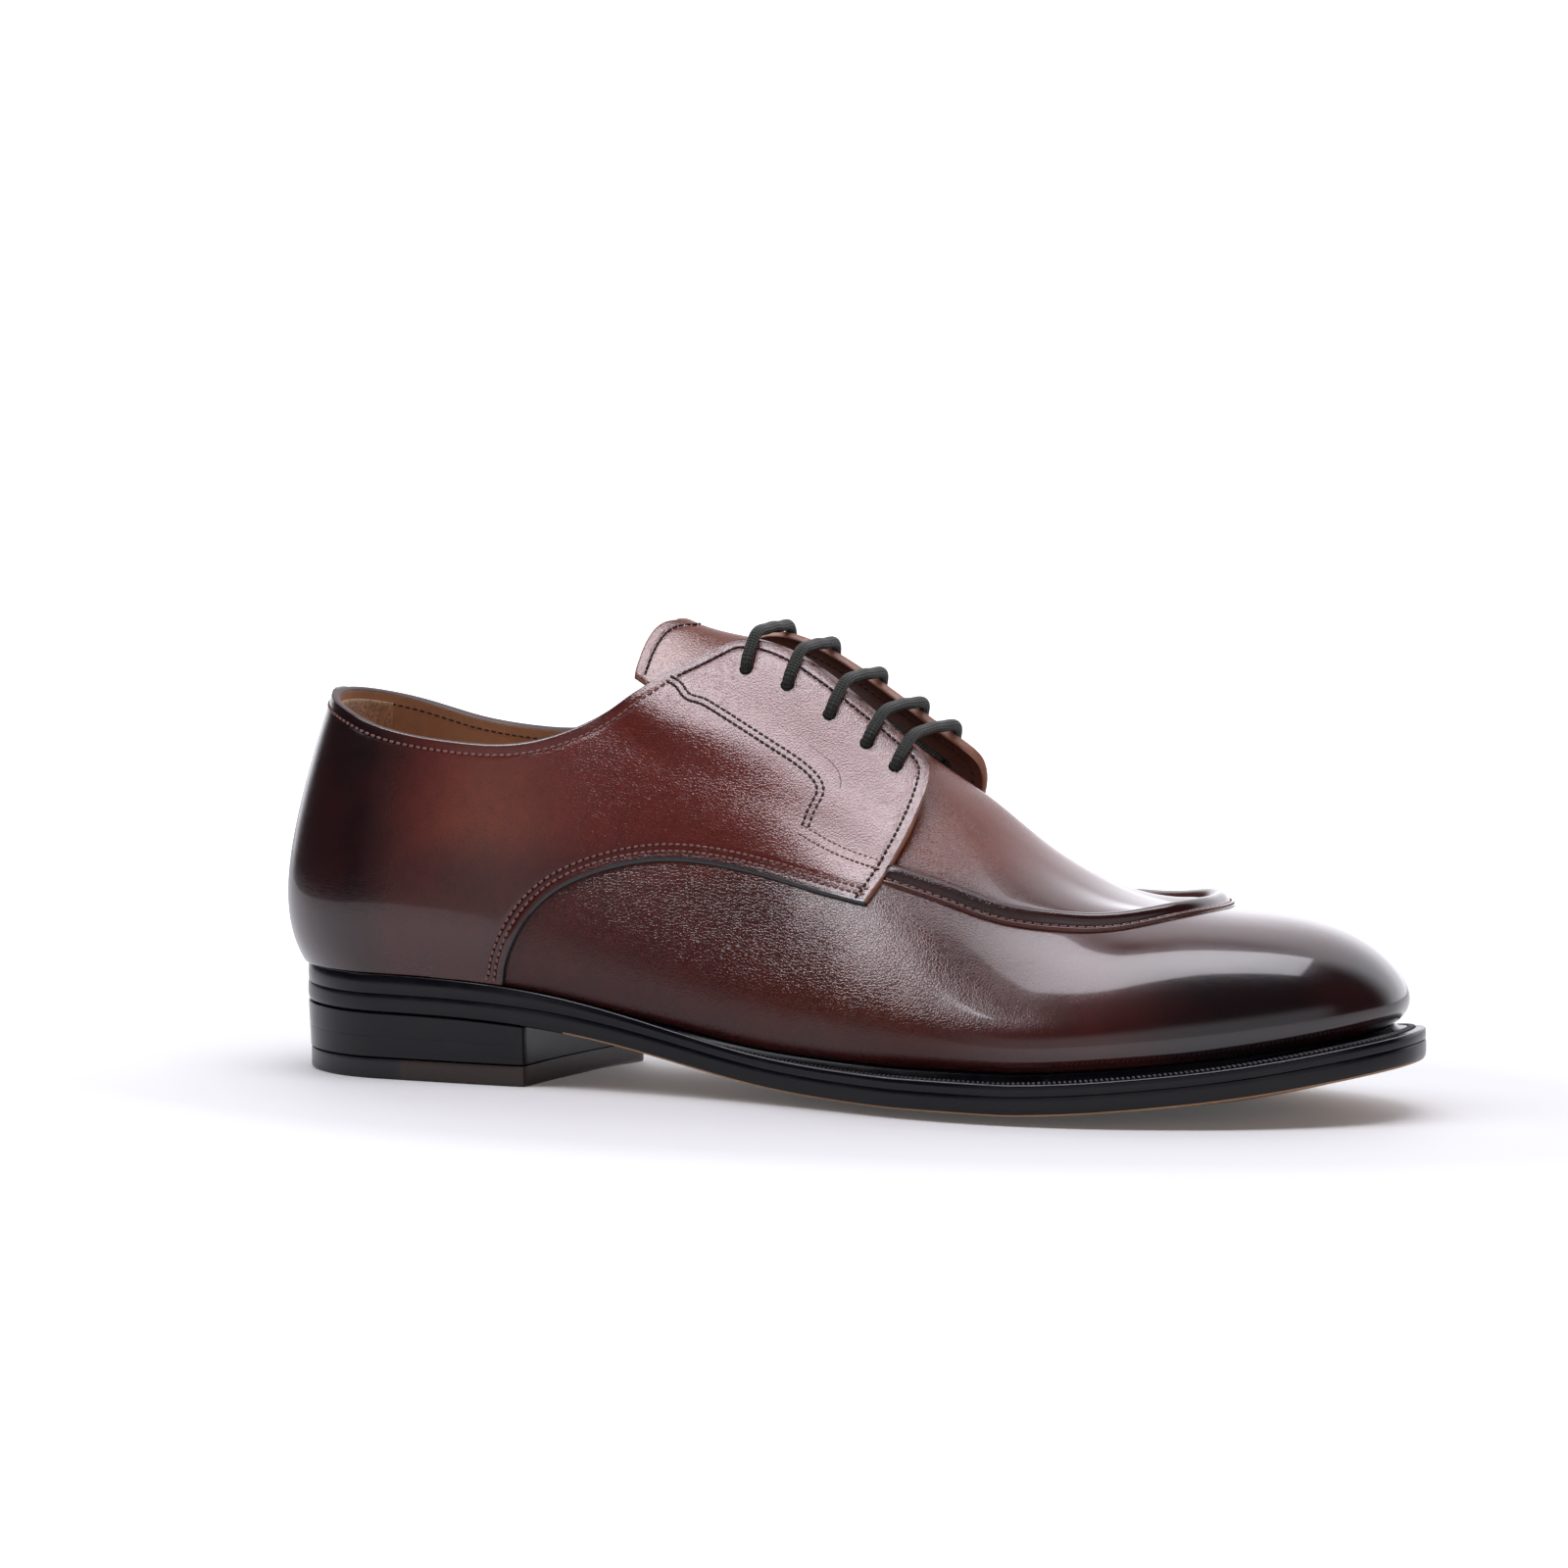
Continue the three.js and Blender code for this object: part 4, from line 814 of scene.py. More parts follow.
def quarter_shares(s, is_outer, between=24):
    """Shares from the lower edge, close together at both edges, in true millimetres there."""
    steps = np.linspace(0, 1, 25)
    line = quarter_point(s[:, None], steps[None, :], 0.0, is_outer)
    height = np.linalg.norm(np.diff(line, axis=1), axis=-1).sum(1)
    ends = np.array(rows_near_edge)[None, :] / height[:, None]
    inside = lerp(ends[:, -1:], 1 - ends[:, -1:], np.linspace(0, 1, between)[None, 1:-1])
    return np.concatenate([ends, inside, 1 - ends[:, ::-1]], 1)


def quarter_edges(is_outer):
    """The lines of the top edge, the front edge and the lower seam of one quarter."""
    along = np.linspace(0, 1, 500)
    on_seam = np.linspace(foot_share, 1, 400)
    return (quarter_point(along, 1.0, 0.0, is_outer), quarter_point(1.0, along, 0.0, is_outer),
            quarter_point(on_seam, 0.0, 0.0, is_outer))


quarter_length = 230
front_gaps = np.array([0, 0.3, 0.7, 1.2, 1.7, 2.2, 2.7, 3.3, 4.2]) / quarter_length
half_side = np.concatenate([np.linspace(0, 1 - front_gaps[-1], 150)[:-1], 1 - front_gaps[::-1]])


def groove(distance, at, deep=0.2, wide=0.6):
    return deep * hump(distance, at, wide)


# A dark brown copy of the tan lining, put inside the quarters under the facings as painted shade.
lining_in_shade = plain_leather("lining painted shade", (0.15, 0.050, 0.026), (0.07, 0.022, 0.013), 0.5, 1300, 0.00006)
edge_gaps = {}
quarter_grids = []
for is_outer in (True, False):
    shares = quarter_shares(half_side, is_outer)
    s = np.broadcast_to(half_side[:, None], shares.shape)
    flat = quarter_point(s, shares, 0.0, is_outer)
    top_edge, front_edge, seam_edge = quarter_edges(is_outer)
    edge_gaps[is_outer] = tuple(distance_to(line) for line in (top_edge, front_edge, seam_edge))
    from_top, from_front, from_seam = (gap(flat) for gap in edge_gaps[is_outer])
    from_rim = np.minimum(from_top, from_front)
    in_seam = sum(groove(from_seam, at) for at in seam_stitches)
    pressed = sum(groove(from_seam, at, depth, 0.35) for at, depth in pressed_lines)
    deep = groove(from_rim, rim_stitches, 0.16) + in_seam * smooth(from_front - 1)
    deep += pressed * hump(flat[..., 0], 112, 22)
    quarter_grids.append([quarter_point(s, shares, depth, is_outer) for depth in (deep, quarter_wall)])
quarter_outer = np.concatenate([quarter_grids[1][0][:0:-1], quarter_grids[0][0]])
quarter_inner = np.concatenate([quarter_grids[1][1][:0:-1], quarter_grids[0][1]])
side_of_column = np.concatenate([half_side[:0:-1], half_side])
last_row = quarter_outer.shape[1] - 1


def quarter_rim(i, j):
    """Material of the rim: ink below, tinted on the collar and a bare cut edge on the facing."""
    on_collar = j == last_row and side_of_column[i] < collar_end
    return 2 if j == 0 else 4 if on_collar else 3


quarters = shell(
    "quarters", quarter_outer, quarter_inner,
    [burnished_calf, lining_leather, edge_ink, cut_edge, rim_ink, lining_in_shade],
    slot_of=lambda i, j: 2 if j < 2 and side_of_column[i] > foot_share else 0,
    # Inside, the lining under the facings is the dark brown copy: painted shade.
    back_of=lambda i, j: 5 if side_of_column[i] > collar_end + 0.02 else 1,
    rim_of=quarter_rim, bulge=0.22,
)


def eyelet_spot(pair, is_outer):
    """Angle and share of the way up of an eyelet, and the share of the facing's edge above it."""
    first_eyelet, last_eyelet = 0.958, 0.69
    edge = facing_edge(lerp(first_eyelet, last_eyelet, pair / (eyelet_pairs - 1)), is_outer)
    angle = on_side(edge[0], is_outer)
    ups = np.linspace(edge[1], 0.4, 400)
    line = shell_point(angle, ups, facing_lift(angle, ups))
    far = np.linalg.norm(line - line[0], axis=1)
    return angle, np.interp(eyelet_margin, far, ups), edge[1]


def cut_holes(piece, centres, normals, radius, long):
    """Round holes through a wall, lined with the last material."""
    points, faces, sides = [], [], 20
    for centre, normal in zip(centres, normals):
        across = np.cross(normal, (1, 0, 0))
        across /= np.linalg.norm(across)
        beside = np.cross(normal, across)
        start = len(points)
        for end in (-1, 1):
            for k in range(sides):
                turn = TURN * k / sides
                ring = across * math.cos(turn) + beside * math.sin(turn)
                points.append(centre + normal * end * long / 2 + ring * radius)
        low, high = start + np.arange(sides), start + sides + np.arange(sides)
        faces += [tuple(low[::-1]), tuple(high)]
        faces += [(low[k], low[(k + 1) % sides], high[(k + 1) % sides], high[k]) for k in range(sides)]
    cutter = mesh_of("cutter", points, faces, [edge_ink])
    cut = piece.modifiers.new("holes", "BOOLEAN")
    cut.object, cut.operation, cut.solver = cutter, "DIFFERENCE", "EXACT"
    apply_modifiers(piece)
    piece.data.set_sharp_from_angle(angle=math.radians(50))
    bpy.data.objects.remove(cutter)


def apply_modifiers(piece):
    """Turns the evaluated piece into a plain mesh."""
    graph = bpy.context.evaluated_depsgraph_get()
    mesh = bpy.data.meshes.new_from_object(piece.evaluated_get(graph), depsgraph=graph)
    piece.modifiers.clear()
    piece.data = mesh


eyelets = [eyelet_spot(pair, is_outer)[:2] for pair in range(eyelet_pairs) for is_outer in (True, False)]
eyelet_centres = [shell_point(*spot, facing_lift(*spot) - quarter_wall / 2) for spot in eyelets]
eyelet_normals = [last_normal(*spot) for spot in eyelets]
cut_holes(quarters, eyelet_centres, eyelet_normals, eyelet_radius, eyelet_cut)


def quarter_burnish(p):
    """Nearly black round the heel, dark over the welt and beside the seams and edges."""
    x, z = p[:, 0], p[:, 2]
    low = np.exp(-np.maximum(0, z - feather_height(x)) / 6)
    back = 0.9 * smooth((58 - x) / 34)
    under = 0.6 * smooth((70 - z) / 16) * smooth((125 - x) / 50)
    seam = 0.75 * np.exp(-np.minimum(edge_gaps[True][2](p), edge_gaps[False][2](p)) / 2.6)
    rim = np.minimum.reduce([gap(p) for gaps in edge_gaps.values() for gap in gaps[:2]])
    return np.maximum.reduce([0.5 * low, back, under, seam, 0.5 * np.exp(-rim / 1.2)])


paint(
    quarters, burnish=quarter_burnish,
    glow=lambda p: 0.7 * hump(p[:, 0], 62, 15) * hump(p[:, 2], 66, 20),
    gloss=lambda p: 0.1 + 0.6 * smooth((110 - p[:, 0]) / 50),
)
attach(quarters, "root")
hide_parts("upper")

# Back strip
# A narrow strip of the same calf over the seam that joins the quarters at the heel, skived at its
# edges and stitched down both sides.
back_strip_width = 12.0
back_strip_step = 0.9
strip_side = np.linspace(0, 0.1, 200)
strip_y = quarter_point(strip_side, 0.5, 0.0, True)[:, 1]
strip_end = np.interp(back_strip_width / 2, -strip_y, strip_side)


def heel_grid(sides, shares, depth):
    """Points on the quarters round the heel: negative sides are on the inner quarter."""
    sides, shares, depth = np.broadcast_arrays(sides[:, None], shares[None, :], depth)
    inner = quarter_point(-np.minimum(sides, 0), shares, depth, False)
    outer = quarter_point(np.maximum(sides, 0), shares, depth, True)
    return np.where((sides < 0)[..., None], inner, outer)


strip_sides = np.linspace(-strip_end, strip_end, 15)
strip_shares = np.linspace(0.0, 1.0, 60)
edge_share = 1 - np.abs(strip_sides / strip_end)
skive = lerp(0.45, back_strip_step, smooth(edge_share / 0.35))
stitch_dip = 0.15 * hump(edge_share * back_strip_width / 2, 1.5, 0.5)
strip_depth = -(skive - stitch_dip)[:, None]
strip_sunk = 0.4
back_strip = shell(
    "back_strip", heel_grid(strip_sides, strip_shares, strip_depth),
    heel_grid(strip_sides, strip_shares, strip_sunk), [burnished_calf, lining_leather, edge_ink], bulge=0.2,
)
paint(back_strip, burnish=lambda p: 0.6 + 0.3 * smooth((40 - p[:, 2]) / 40), glow=0.0, gloss=0.7)
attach(back_strip, "root")

# Heel grip
# Coarse brown suede glued inside the heel, from the sock up to just under the topline, so that the
# foot doesn't slip.
grip_sides = np.linspace(-0.17, 0.17, 81)
grip_shares = np.linspace(0.06, 0.965, 70)
rng = np.random.default_rng(7)
nap_height, nap_spread = 0.55, 0.22
nap = rng.uniform(0, nap_spread, (len(grip_sides), len(grip_shares))) + nap_height
suede, tree, surface, place = new_material("suede")
fleck = tree.noise(place, 900.0, 4.0, 0.7).outputs[0]
patch = tree.noise(place, 140.0, 3.0, 0.6).outputs[0]
suede_mix = tree.mix(tree.range(fleck, 0.35, 0.65), colour(0.40, 0.21, 0.10), colour(0.75, 0.46, 0.26))
suede_mix = tree.mix(tree.range(patch, 0.4, 0.7, 0.0, 0.4), suede_mix, colour(0.28, 0.14, 0.06))
tree.shade(surface, Base_Color=suede_mix, Roughness=0.95, Sheen_Weight=0.5, Sheen_Roughness=0.5)
tree.bump(surface, fleck, 1.0, 0.0005)
heel_grip = shell(
    "heel_grip", heel_grid(grip_sides, grip_shares, quarter_wall - 0.2),
    heel_grid(grip_sides, grip_shares, quarter_wall + nap), [suede, suede, suede], bulge=0.2,
)
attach(heel_grip, "root")

# Tongue
# Calf backed with lining, sewn in at the throat and free at its rounded top under the facings.
tongue_thickness = 2.0
tongue_side = 0.65
tongue_sweep = 8.0
tongue_top_x = last_start + 0.355 * last_length
tongue_across = np.linspace(-1, 1, 61)
tongue_up = lerp(1, tongue_side, np.abs(tongue_across))
front_search = np.linspace(throat_start - (throat_end - throat_start), throat_end, 300)
front_top = vamp_top(angle_at(front_search))
tongue_front = np.array([front_search[np.argmax(front_top > up - 1e-9)] for up in tongue_up]) - 2 * clearance
along_tongue = np.concatenate([np.linspace(0, 0.9, 56)[:-1], np.linspace(0.9, 1, 16)])


def tongue_point(along, across, offset):
    """Across runs from the outer side (-1) to the inner (1), along from the throat to the free end."""
    along, across, offset = np.broadcast_arrays(along, across, offset)
    rear = tongue_top_x - tongue_sweep * 1.15 * across**2 / (across**2 + 0.15)
    x = lerp(np.interp(across, tongue_across, tongue_front), rear, along)
    angle = np.where(across <= 0, angle_at(x), TURN - angle_at(x))
    return shell_point(angle, lerp(1, tongue_side, np.abs(across)), offset)


tongue_free = distance_to(tongue_point(1.0, np.linspace(-1, 1, 300), 0.0))
flat = tongue_point(along_tongue[:, None], tongue_across[None, :], 0.0)
dip = -groove(tongue_free(flat), rim_stitches, 0.2, 0.5)
tongue = shell(
    "tongue", tongue_point(along_tongue[:, None], tongue_across[None, :], dip),
    tongue_point(along_tongue[:, None], tongue_across[None, :], -tongue_thickness),
    [burnished_calf, lining_leather, cut_edge], bulge=0.25,
)
# The tongue darkens along its free edge, and painted shade darkens it from just below its top down to the
# throat, under the facings and laces.
paint(
    tongue, glow=0.7, gloss=0.2,
    burnish=lambda p: 0.35 * np.exp(-tongue_free(p) / 2.0) + 0.5 * smooth((p[:, 0] - 115) / 25),
)
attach(tongue, "root")
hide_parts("tongue")

# Welt
# A strip of firm leather sewn round the edge, inked black and waxed. A hot wheel leaves fine
# slanted marks on its top from the waist round the toe.
welt_inset = 0.2
welt_reach = 13.0
# The row of the welt's rounded top outer corner, which carries a painted highlight.
highlight_row = 7
wheel_start, wheel_end = 128, 150
wheel_pitch = 1.3


def loft(name, grid, materials, slots, close_rows=False, sharp=40):
    """A ring of sections (columns, points, 3), open where the points end on one line, as a mesh."""
    columns, count = grid.shape[:2]
    faces, face_slots = [], []
    for i in range(columns):
        k = (i + 1) % columns
        for j in range(count if close_rows else count - 1):
            n = (j + 1) % count
            faces.append((i * count + j, k * count + j, k * count + n, i * count + n))
            face_slots.append(slots(i, j) if callable(slots) else slots[j])
    return mesh_of(name, grid.reshape(-1, 3), faces, materials, face_slots, sharp=sharp)


def on_sole(angle, inset, height):
    """Points drawn in from the sole's edge; height is a function of x and the share of the half width."""
    edge, centre = sole_outline(angle)
    inner, _ = sole_outline(angle, inset)
    share = np.linalg.norm(inner - centre, axis=-1) / (np.linalg.norm(edge - centre, axis=-1) + 1e-9)
    return np.concatenate([inner, height(inner[..., 0], share)[..., None]], -1)


def evened(count):
    """Angles round the sole that stand about evenly along its edge."""
    angle = np.linspace(0, TURN, 2001)
    edge = sole_outline(angle)[0]
    gone = gone_along(edge)
    return np.interp(np.linspace(0, gone[-1], count + 1)[:-1], gone, angle)


waxed_edge, tree, surface, place = new_material("waxed edge")
stretch = tree.add("ShaderNodeMapping", {}, Vector=place)
stretch.inputs["Scale"].default_value = (30, 30, 900)
lines = tree.noise(stretch.outputs[0], 1.0, 3.0, 0.6).outputs[0]
scuff = tree.noise(place, 120.0, 4.0, 0.6).outputs[0]
worn = tree.range(scuff, 0.55, 0.8, 0.0, 0.6)
tree.shade(surface, Base_Color=tree.mix(worn, colour(0.003, 0.003, 0.006), colour(0.014, 0.011, 0.013)),
           Roughness=tree.range(scuff, 0.3, 0.7, 0.16, 0.26), Specular_IOR_Level=0.33)
tree.bump(surface, lines, 0.25, 0.00003)

turns = evened(420)
top_z = welt_top(sole_outline(turns, welt_inset)[0][:, 0])


def under_welt(x, share):
    return sole_bottom(x, share) + outsole_thickness + clearance


def foot_of_upper(turned, gap):
    """Points under the upper's edge, gap millimetres further out, at the height of the seat."""
    foot, (edge, _) = feather_point(turned), sole_outline(turned, welt_inset)
    apart = edge - foot[:, :2]
    reach = np.linalg.norm(apart, axis=1, keepdims=True)
    spot = foot[:, :2] + apart / reach * np.minimum(gap, reach * 0.8)
    return spot, foot[:, 2]


seat_spot, seat_z = foot_of_upper(turns, 0.0)
lip_spot, _ = foot_of_upper(turns, 0.7)
seat = np.concatenate([seat_spot, (seat_z - clearance)[:, None]], 1)
seat_lip = np.concatenate([lip_spot, (lerp(seat_z - clearance, top_z, 0.35))[:, None]], 1)
flat_lip_spot, _ = foot_of_upper(turns, 1.5)
flat_lip = np.concatenate([flat_lip_spot, (top_z - 0.05)[:, None]], 1)


def welt_row(inset, drop):
    return on_sole(turns, inset, lambda x, share: welt_top(x) - drop)


welt_rows = [
    on_sole(turns, welt_inset + welt_reach, under_welt),
    on_sole(turns, welt_inset + 0.7 * welt_reach, under_welt),
    on_sole(turns, welt_inset + 1.0, under_welt),
    on_sole(turns, welt_inset + 0.2, lambda x, share: under_welt(x, 1) - 0.1),
    on_sole(turns, welt_inset + 0.02, lambda x, share: under_welt(x, 1) + 0.15),
    on_sole(turns, welt_inset - 0.12, lambda x, share: lerp(under_welt(x, 1), welt_top(x), 0.5)),
    welt_row(welt_inset, 0.5), welt_row(welt_inset + 0.12, 0.2), welt_row(welt_inset + 0.4, 0.02),
    welt_row(welt_inset + 0.75, 0.0), flat_lip, seat_lip, seat,
    on_sole(turns, welt_inset + welt_reach, lambda x, share: feather_height(x) - clearance),
]
# The rounded outer corner of the welt's top is pale grey: a painted highlight on the black wax.
welt_corner_highlight = plain_leather("welt corner painted highlight", (0.22, 0.215, 0.22), (0.10, 0.095, 0.10), 0.3, 1500, 0.00003)
welt_slots = [int(row == highlight_row) for row in range(len(welt_rows))]
welt = loft("welt", np.stack(welt_rows, 1), [waxed_edge, welt_corner_highlight], welt_slots, close_rows=True, sharp=60)
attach(welt, "root")
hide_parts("welt")


def row_nodes():
    """A tree that strews small rounded pieces along lines: stitches, or the ribs of a wheel."""
    group = bpy.data.node_groups.new("row of small pieces", "GeometryNodeTree")
    for label, kind in (("Line", "Geometry"), ("Pitch", "Float"), ("Size", "Vector"), ("Slant", "Float"),
                        ("Spread", "Float"), ("Material", "Material")):
        group.interface.new_socket(label, in_out="INPUT", socket_type="NodeSocket" + kind)
    group.interface.new_socket("Pieces", in_out="OUTPUT", socket_type="NodeSocketGeometry")
    tree = Nodes(group)
    given = tree.add("NodeGroupInput").outputs
    curve = tree.add("GeometryNodeMeshToCurve", {}, Mesh=given["Line"])
    spots = tree.add("GeometryNodeCurveToPoints", {"mode": "LENGTH"}, Curve=curve, Length=given["Pitch"])
    out = tree.add("GeometryNodeInputNamedAttribute", {"data_type": "FLOAT_VECTOR"}, Name="out")
    facing = tree.add("FunctionNodeAxesToRotation", {"primary_axis": "Z", "secondary_axis": "X"},
                      _0=out.outputs[0], _1=spots.outputs["Tangent"])
    chance = tree.add("FunctionNodeRandomValue", {"data_type": "FLOAT"}, Seed=11)
    spread = tree.math("MULTIPLY", given["Spread"], tree.range(chance.outputs[1], 0.0, 1.0, -1.0, 1.0))
    turned = tree.add("ShaderNodeCombineXYZ", {}, Z=tree.math("ADD", given["Slant"], spread))
    by = tree.add("FunctionNodeEulerToRotation", {}, Euler=turned)
    rotation = tree.add("FunctionNodeRotateRotation", {"rotation_space": "LOCAL"}, _0=facing, _1=by)
    bead = tree.add("GeometryNodeMeshUVSphere", {}, Segments=8, Rings=5, Radius=0.5)
    lie = tree.add("GeometryNodeTransform", {}, Geometry=bead.outputs["Mesh"], Rotation=(0, math.pi / 2, 0))
    laid = tree.add("GeometryNodeInstanceOnPoints", {}, Points=spots.outputs["Points"], Instance=lie,
                    Rotation=rotation, Scale=given["Size"])
    real = tree.add("GeometryNodeRealizeInstances", {}, Geometry=laid)
    soft = tree.add("GeometryNodeSetShadeSmooth", {}, Geometry=real)
    done = tree.add("GeometryNodeSetMaterial", {}, Geometry=soft, Material=given["Material"])
    tree.set(tree.add("NodeGroupOutput").inputs["Pieces"], done)
    return group


row_of_pieces = row_nodes()


def along_rows(name, rows, pitch, size, slant, spread, material):
    """Pieces of one size along several rows, each a pair of arrays: the line and its outward normals."""
    points, edges, normals = [], [], []
    for line, out in rows:
        start = sum(len(part) for part in points)
        points.append(line)
        normals.append(out)
        edges += [(start + k, start + k + 1) for k in range(len(line) - 1)]
    mesh = bpy.data.meshes.new(name)
    mesh.from_pydata((np.concatenate(points) + frame_shift) / 1000, edges, [])
    layer = mesh.attributes.new("out", "FLOAT_VECTOR", "POINT")
    layer.data.foreach_set("vector", np.concatenate(normals).astype(np.float32).ravel())
    piece = add_object(name, mesh)
    modifier = piece.modifiers.new("row", "NODES")
    modifier.node_group = row_of_pieces
    values = {"Pitch": pitch / 1000, "Size": [v / 1000 for v in size], "Slant": slant, "Spread": spread,
              "Material": material}
    for item in row_of_pieces.interface.items_tree:
        if item.in_out == "INPUT" and item.name in values:
            modifier[item.identifier] = values[item.name]
    apply_modifiers(piece)
    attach(piece, "root")
    return piece


# The wheel marks are pale grey: a painted highlight for the light they catch on the black welt.
wheel_mark_highlight = plain_leather("wheel marks painted highlight", (0.17, 0.16, 0.165), (0.07, 0.065, 0.07), 0.5, 1500, 0.00004)
wheel_turns = np.linspace(angle_at(wheel_start), TURN - angle_at(wheel_end), 900)
wheel_mid = (foot_of_upper(wheel_turns, 1.5)[0] + sole_outline(wheel_turns, welt_inset + 0.7)[0]) / 2
wheel_z = welt_top(sole_outline(wheel_turns, welt_inset)[0][:, 0]) - 0.05
wheel_line = np.concatenate([wheel_mid, wheel_z[:, None]], 1)
wheel_up = np.tile([0.0, 0.0, 1.0], (len(wheel_turns), 1))
along_rows("wheel_marks", [(wheel_line, wheel_up)], wheel_pitch, (0.65, 2.4, 0.8), 0.35, 0.05, wheel_mark_highlight)

# Outsole
# Oak-bark leather, nearly 5 mm thick. The edge is trimmed round, inked and waxed; the ink stops at the
# lower corner, where a thin line of bare leather shows.
bare_leather = plain_leather("bare sole leather", (0.42, 0.24, 0.12), (0.27, 0.14, 0.07), 0.6, 900, 0.00006)
sole_turns = evened(360)


def sole_row(inset, rise, share=None):
    """A row of the sole's section: drawn in by inset, or at a share of the half width."""
    if share is None:
        return on_sole(sole_turns, inset, lambda x, s: sole_bottom(x, s) + rise)
    edge, centre = sole_outline(sole_turns)
    spot = lerp(centre, edge, share)
    return np.concatenate([spot, (sole_bottom(spot[:, 0], share) + rise)[:, None]], 1)


def edge_row(inset, rise):
    return on_sole(sole_turns, inset, lambda x, s: sole_bottom(x, 1) + rise)


inner_shares = (0.0, 0.2, 0.4, 0.5, 0.6, 0.7, 0.8, 0.88)
sole_rows = [sole_row(0, 0, share) for share in inner_shares]
sole_rows.append(sole_row(2.4, 0))
sole_rows += [edge_row(*row) for row in (
    (1.4, 0.02), (0.9, 0.1), (0.55, 0.28), (0.3, 0.6), (0.12, 1.1), (0.02, 1.8), (0.0, 2.6), (0.0, 3.6),
    (0.02, 4.4), (0.1, outsole_thickness + 0.12), (0.5, outsole_thickness + 0.25))]
sole_rows += [sole_row(0, outsole_thickness, share) for share in inner_shares[::-1]]
bare_rows = len(inner_shares) + 4
is_bare_edge = sole_outline(sole_turns)[0][:, 0] > 82
outsole = loft("outsole", np.stack(sole_rows, 1), [bare_leather, waxed_edge],
               lambda i, j: 0 if j < bare_rows - (0 if is_bare_edge[i] else 2) else 1)
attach(outsole, "root")
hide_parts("outsole")

# Heel
# Leather lifts glued and nailed into a stack, breasted with a slanted, slightly hollow front, then
# inked and waxed with the edge. The last lift wears on the floor and is part rubber.
heel_length, breast_slant, breast_hollow = 72.5, 8.5, 1.6
heel_taper = 0.9
top_piece_thickness = 5.5
rubber_end = 38


def heel_loop(inset):
    """Plan of the heel at one height: the sole's edge and the curve of the breast, with round corners."""
    outer_end, inner_end = angle_at_sole(heel_length), angle_at_sole(heel_length + breast_slant)
    back = np.concatenate([np.linspace(outer_end, 0, 90), np.linspace(TURN, TURN - inner_end, 90)[1:]])
    edge = sole_outline(back, inset)[0]
    t = np.linspace(0, 1, 50)[1:-1, None]
    control = np.array([heel_length + breast_slant / 2 - 2 * breast_hollow, 0.0])
    breast = (1 - t) ** 2 * edge[-1] + 2 * t * (1 - t) * control + t**2 * edge[0]
    loop = np.concatenate([edge, breast])
    for _ in range(2):
        loop = (np.roll(loop, 1, 0) + 6 * loop + np.roll(loop, -1, 0)) / 8
    return loop


def angle_at_sole(x):
    return np.arccos(1 - 2 * x / sole_length)


def heel_part(name, rows, materials, slots):
    """A block between its lowest and highest row. Each row is an inset and a height, which is a
    number or a function of x."""
    loops = []
    for inset, height in rows:
        loop = heel_loop(inset)
        z = height(loop[:, 0]) if callable(height) else np.full(len(loop), height)
        loops.append(np.concatenate([loop, z[:, None]], 1))
    for k, end in ((0, 0), (len(loops), -1)):
        centre = loops[end].mean(0)
        loops.insert(k, np.tile(centre, (len(loops[end]), 1)))
    grid = np.stack(loops, 1)
    return loft(name, grid, materials, slots + [slots[-1]] * (grid.shape[1] - 1 - len(slots)), sharp=50)


def stack_top(x):
    return sole_bottom(x, 0.0)


lift_lines = (0.5,)
stack_rows = [(heel_taper, top_piece_thickness + 0.1), (heel_taper - 0.25, top_piece_thickness + 0.3)]
for share in np.linspace(0.04, 0.96, 40):
    cut = 0.1 * sum(np.exp(-(((share - line) / 0.014) ** 2)) for line in lift_lines)
    inset = lerp(heel_taper * 0.75, 0.1, share) + cut
    stack_rows.append((inset, lambda x, share=share: lerp(top_piece_thickness, stack_top(x), share)))
stack_rows += [(0.15, lambda x: stack_top(x) - 0.15), (0.4, lambda x: stack_top(x) - 0.03)]
heel_stack = heel_part("heel_stack", stack_rows, [waxed_edge], [0])
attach(heel_stack, "root")
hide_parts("heel_stack")

tread, tree, surface, place = new_material("heel tread")
rubber = tree.value_of("rubber")
fine = tree.add("ShaderNodeGroup", {"node_tree": grain_group}, Place=place, Pores_per_metre=1100)
tread_colour = tree.mix(rubber, colour(0.030, 0.016, 0.012), colour(0.006, 0.006, 0.010))
tree.shade(surface, Base_Color=tread_colour, Roughness=0.28)
tree.bump(surface, fine.outputs["Height"], 0.4, 0.00004)
tread_rows = [(heel_taper + 0.9, 0.0), (heel_taper + 0.35, 0.05), (heel_taper + 0.08, 0.3)]
tread_rows += [(heel_taper - 0.08, z) for z in np.linspace(0.8, 4.8, 8)]
tread_rows += [(heel_taper, top_piece_thickness - 0.25), (heel_taper + 0.2, top_piece_thickness)]
top_piece = heel_part("top_piece", tread_rows, [tread], [0])
paint(top_piece, rubber=lambda p: smooth((rubber_end - p[:, 0]) / 2))
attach(top_piece, "root")
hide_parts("top_piece")

# Lace
# One round waxed cotton lace, 3 mm thick, laced in straight bars. It passes from bar to bar under
# the facings, and both its ends stop there, at the top eyelets.
lace_radius = 1.5
lace_arch = 1.4
flat_lace_high, flat_lace_wide = 0.9, 1.7
lace_under = 1.35


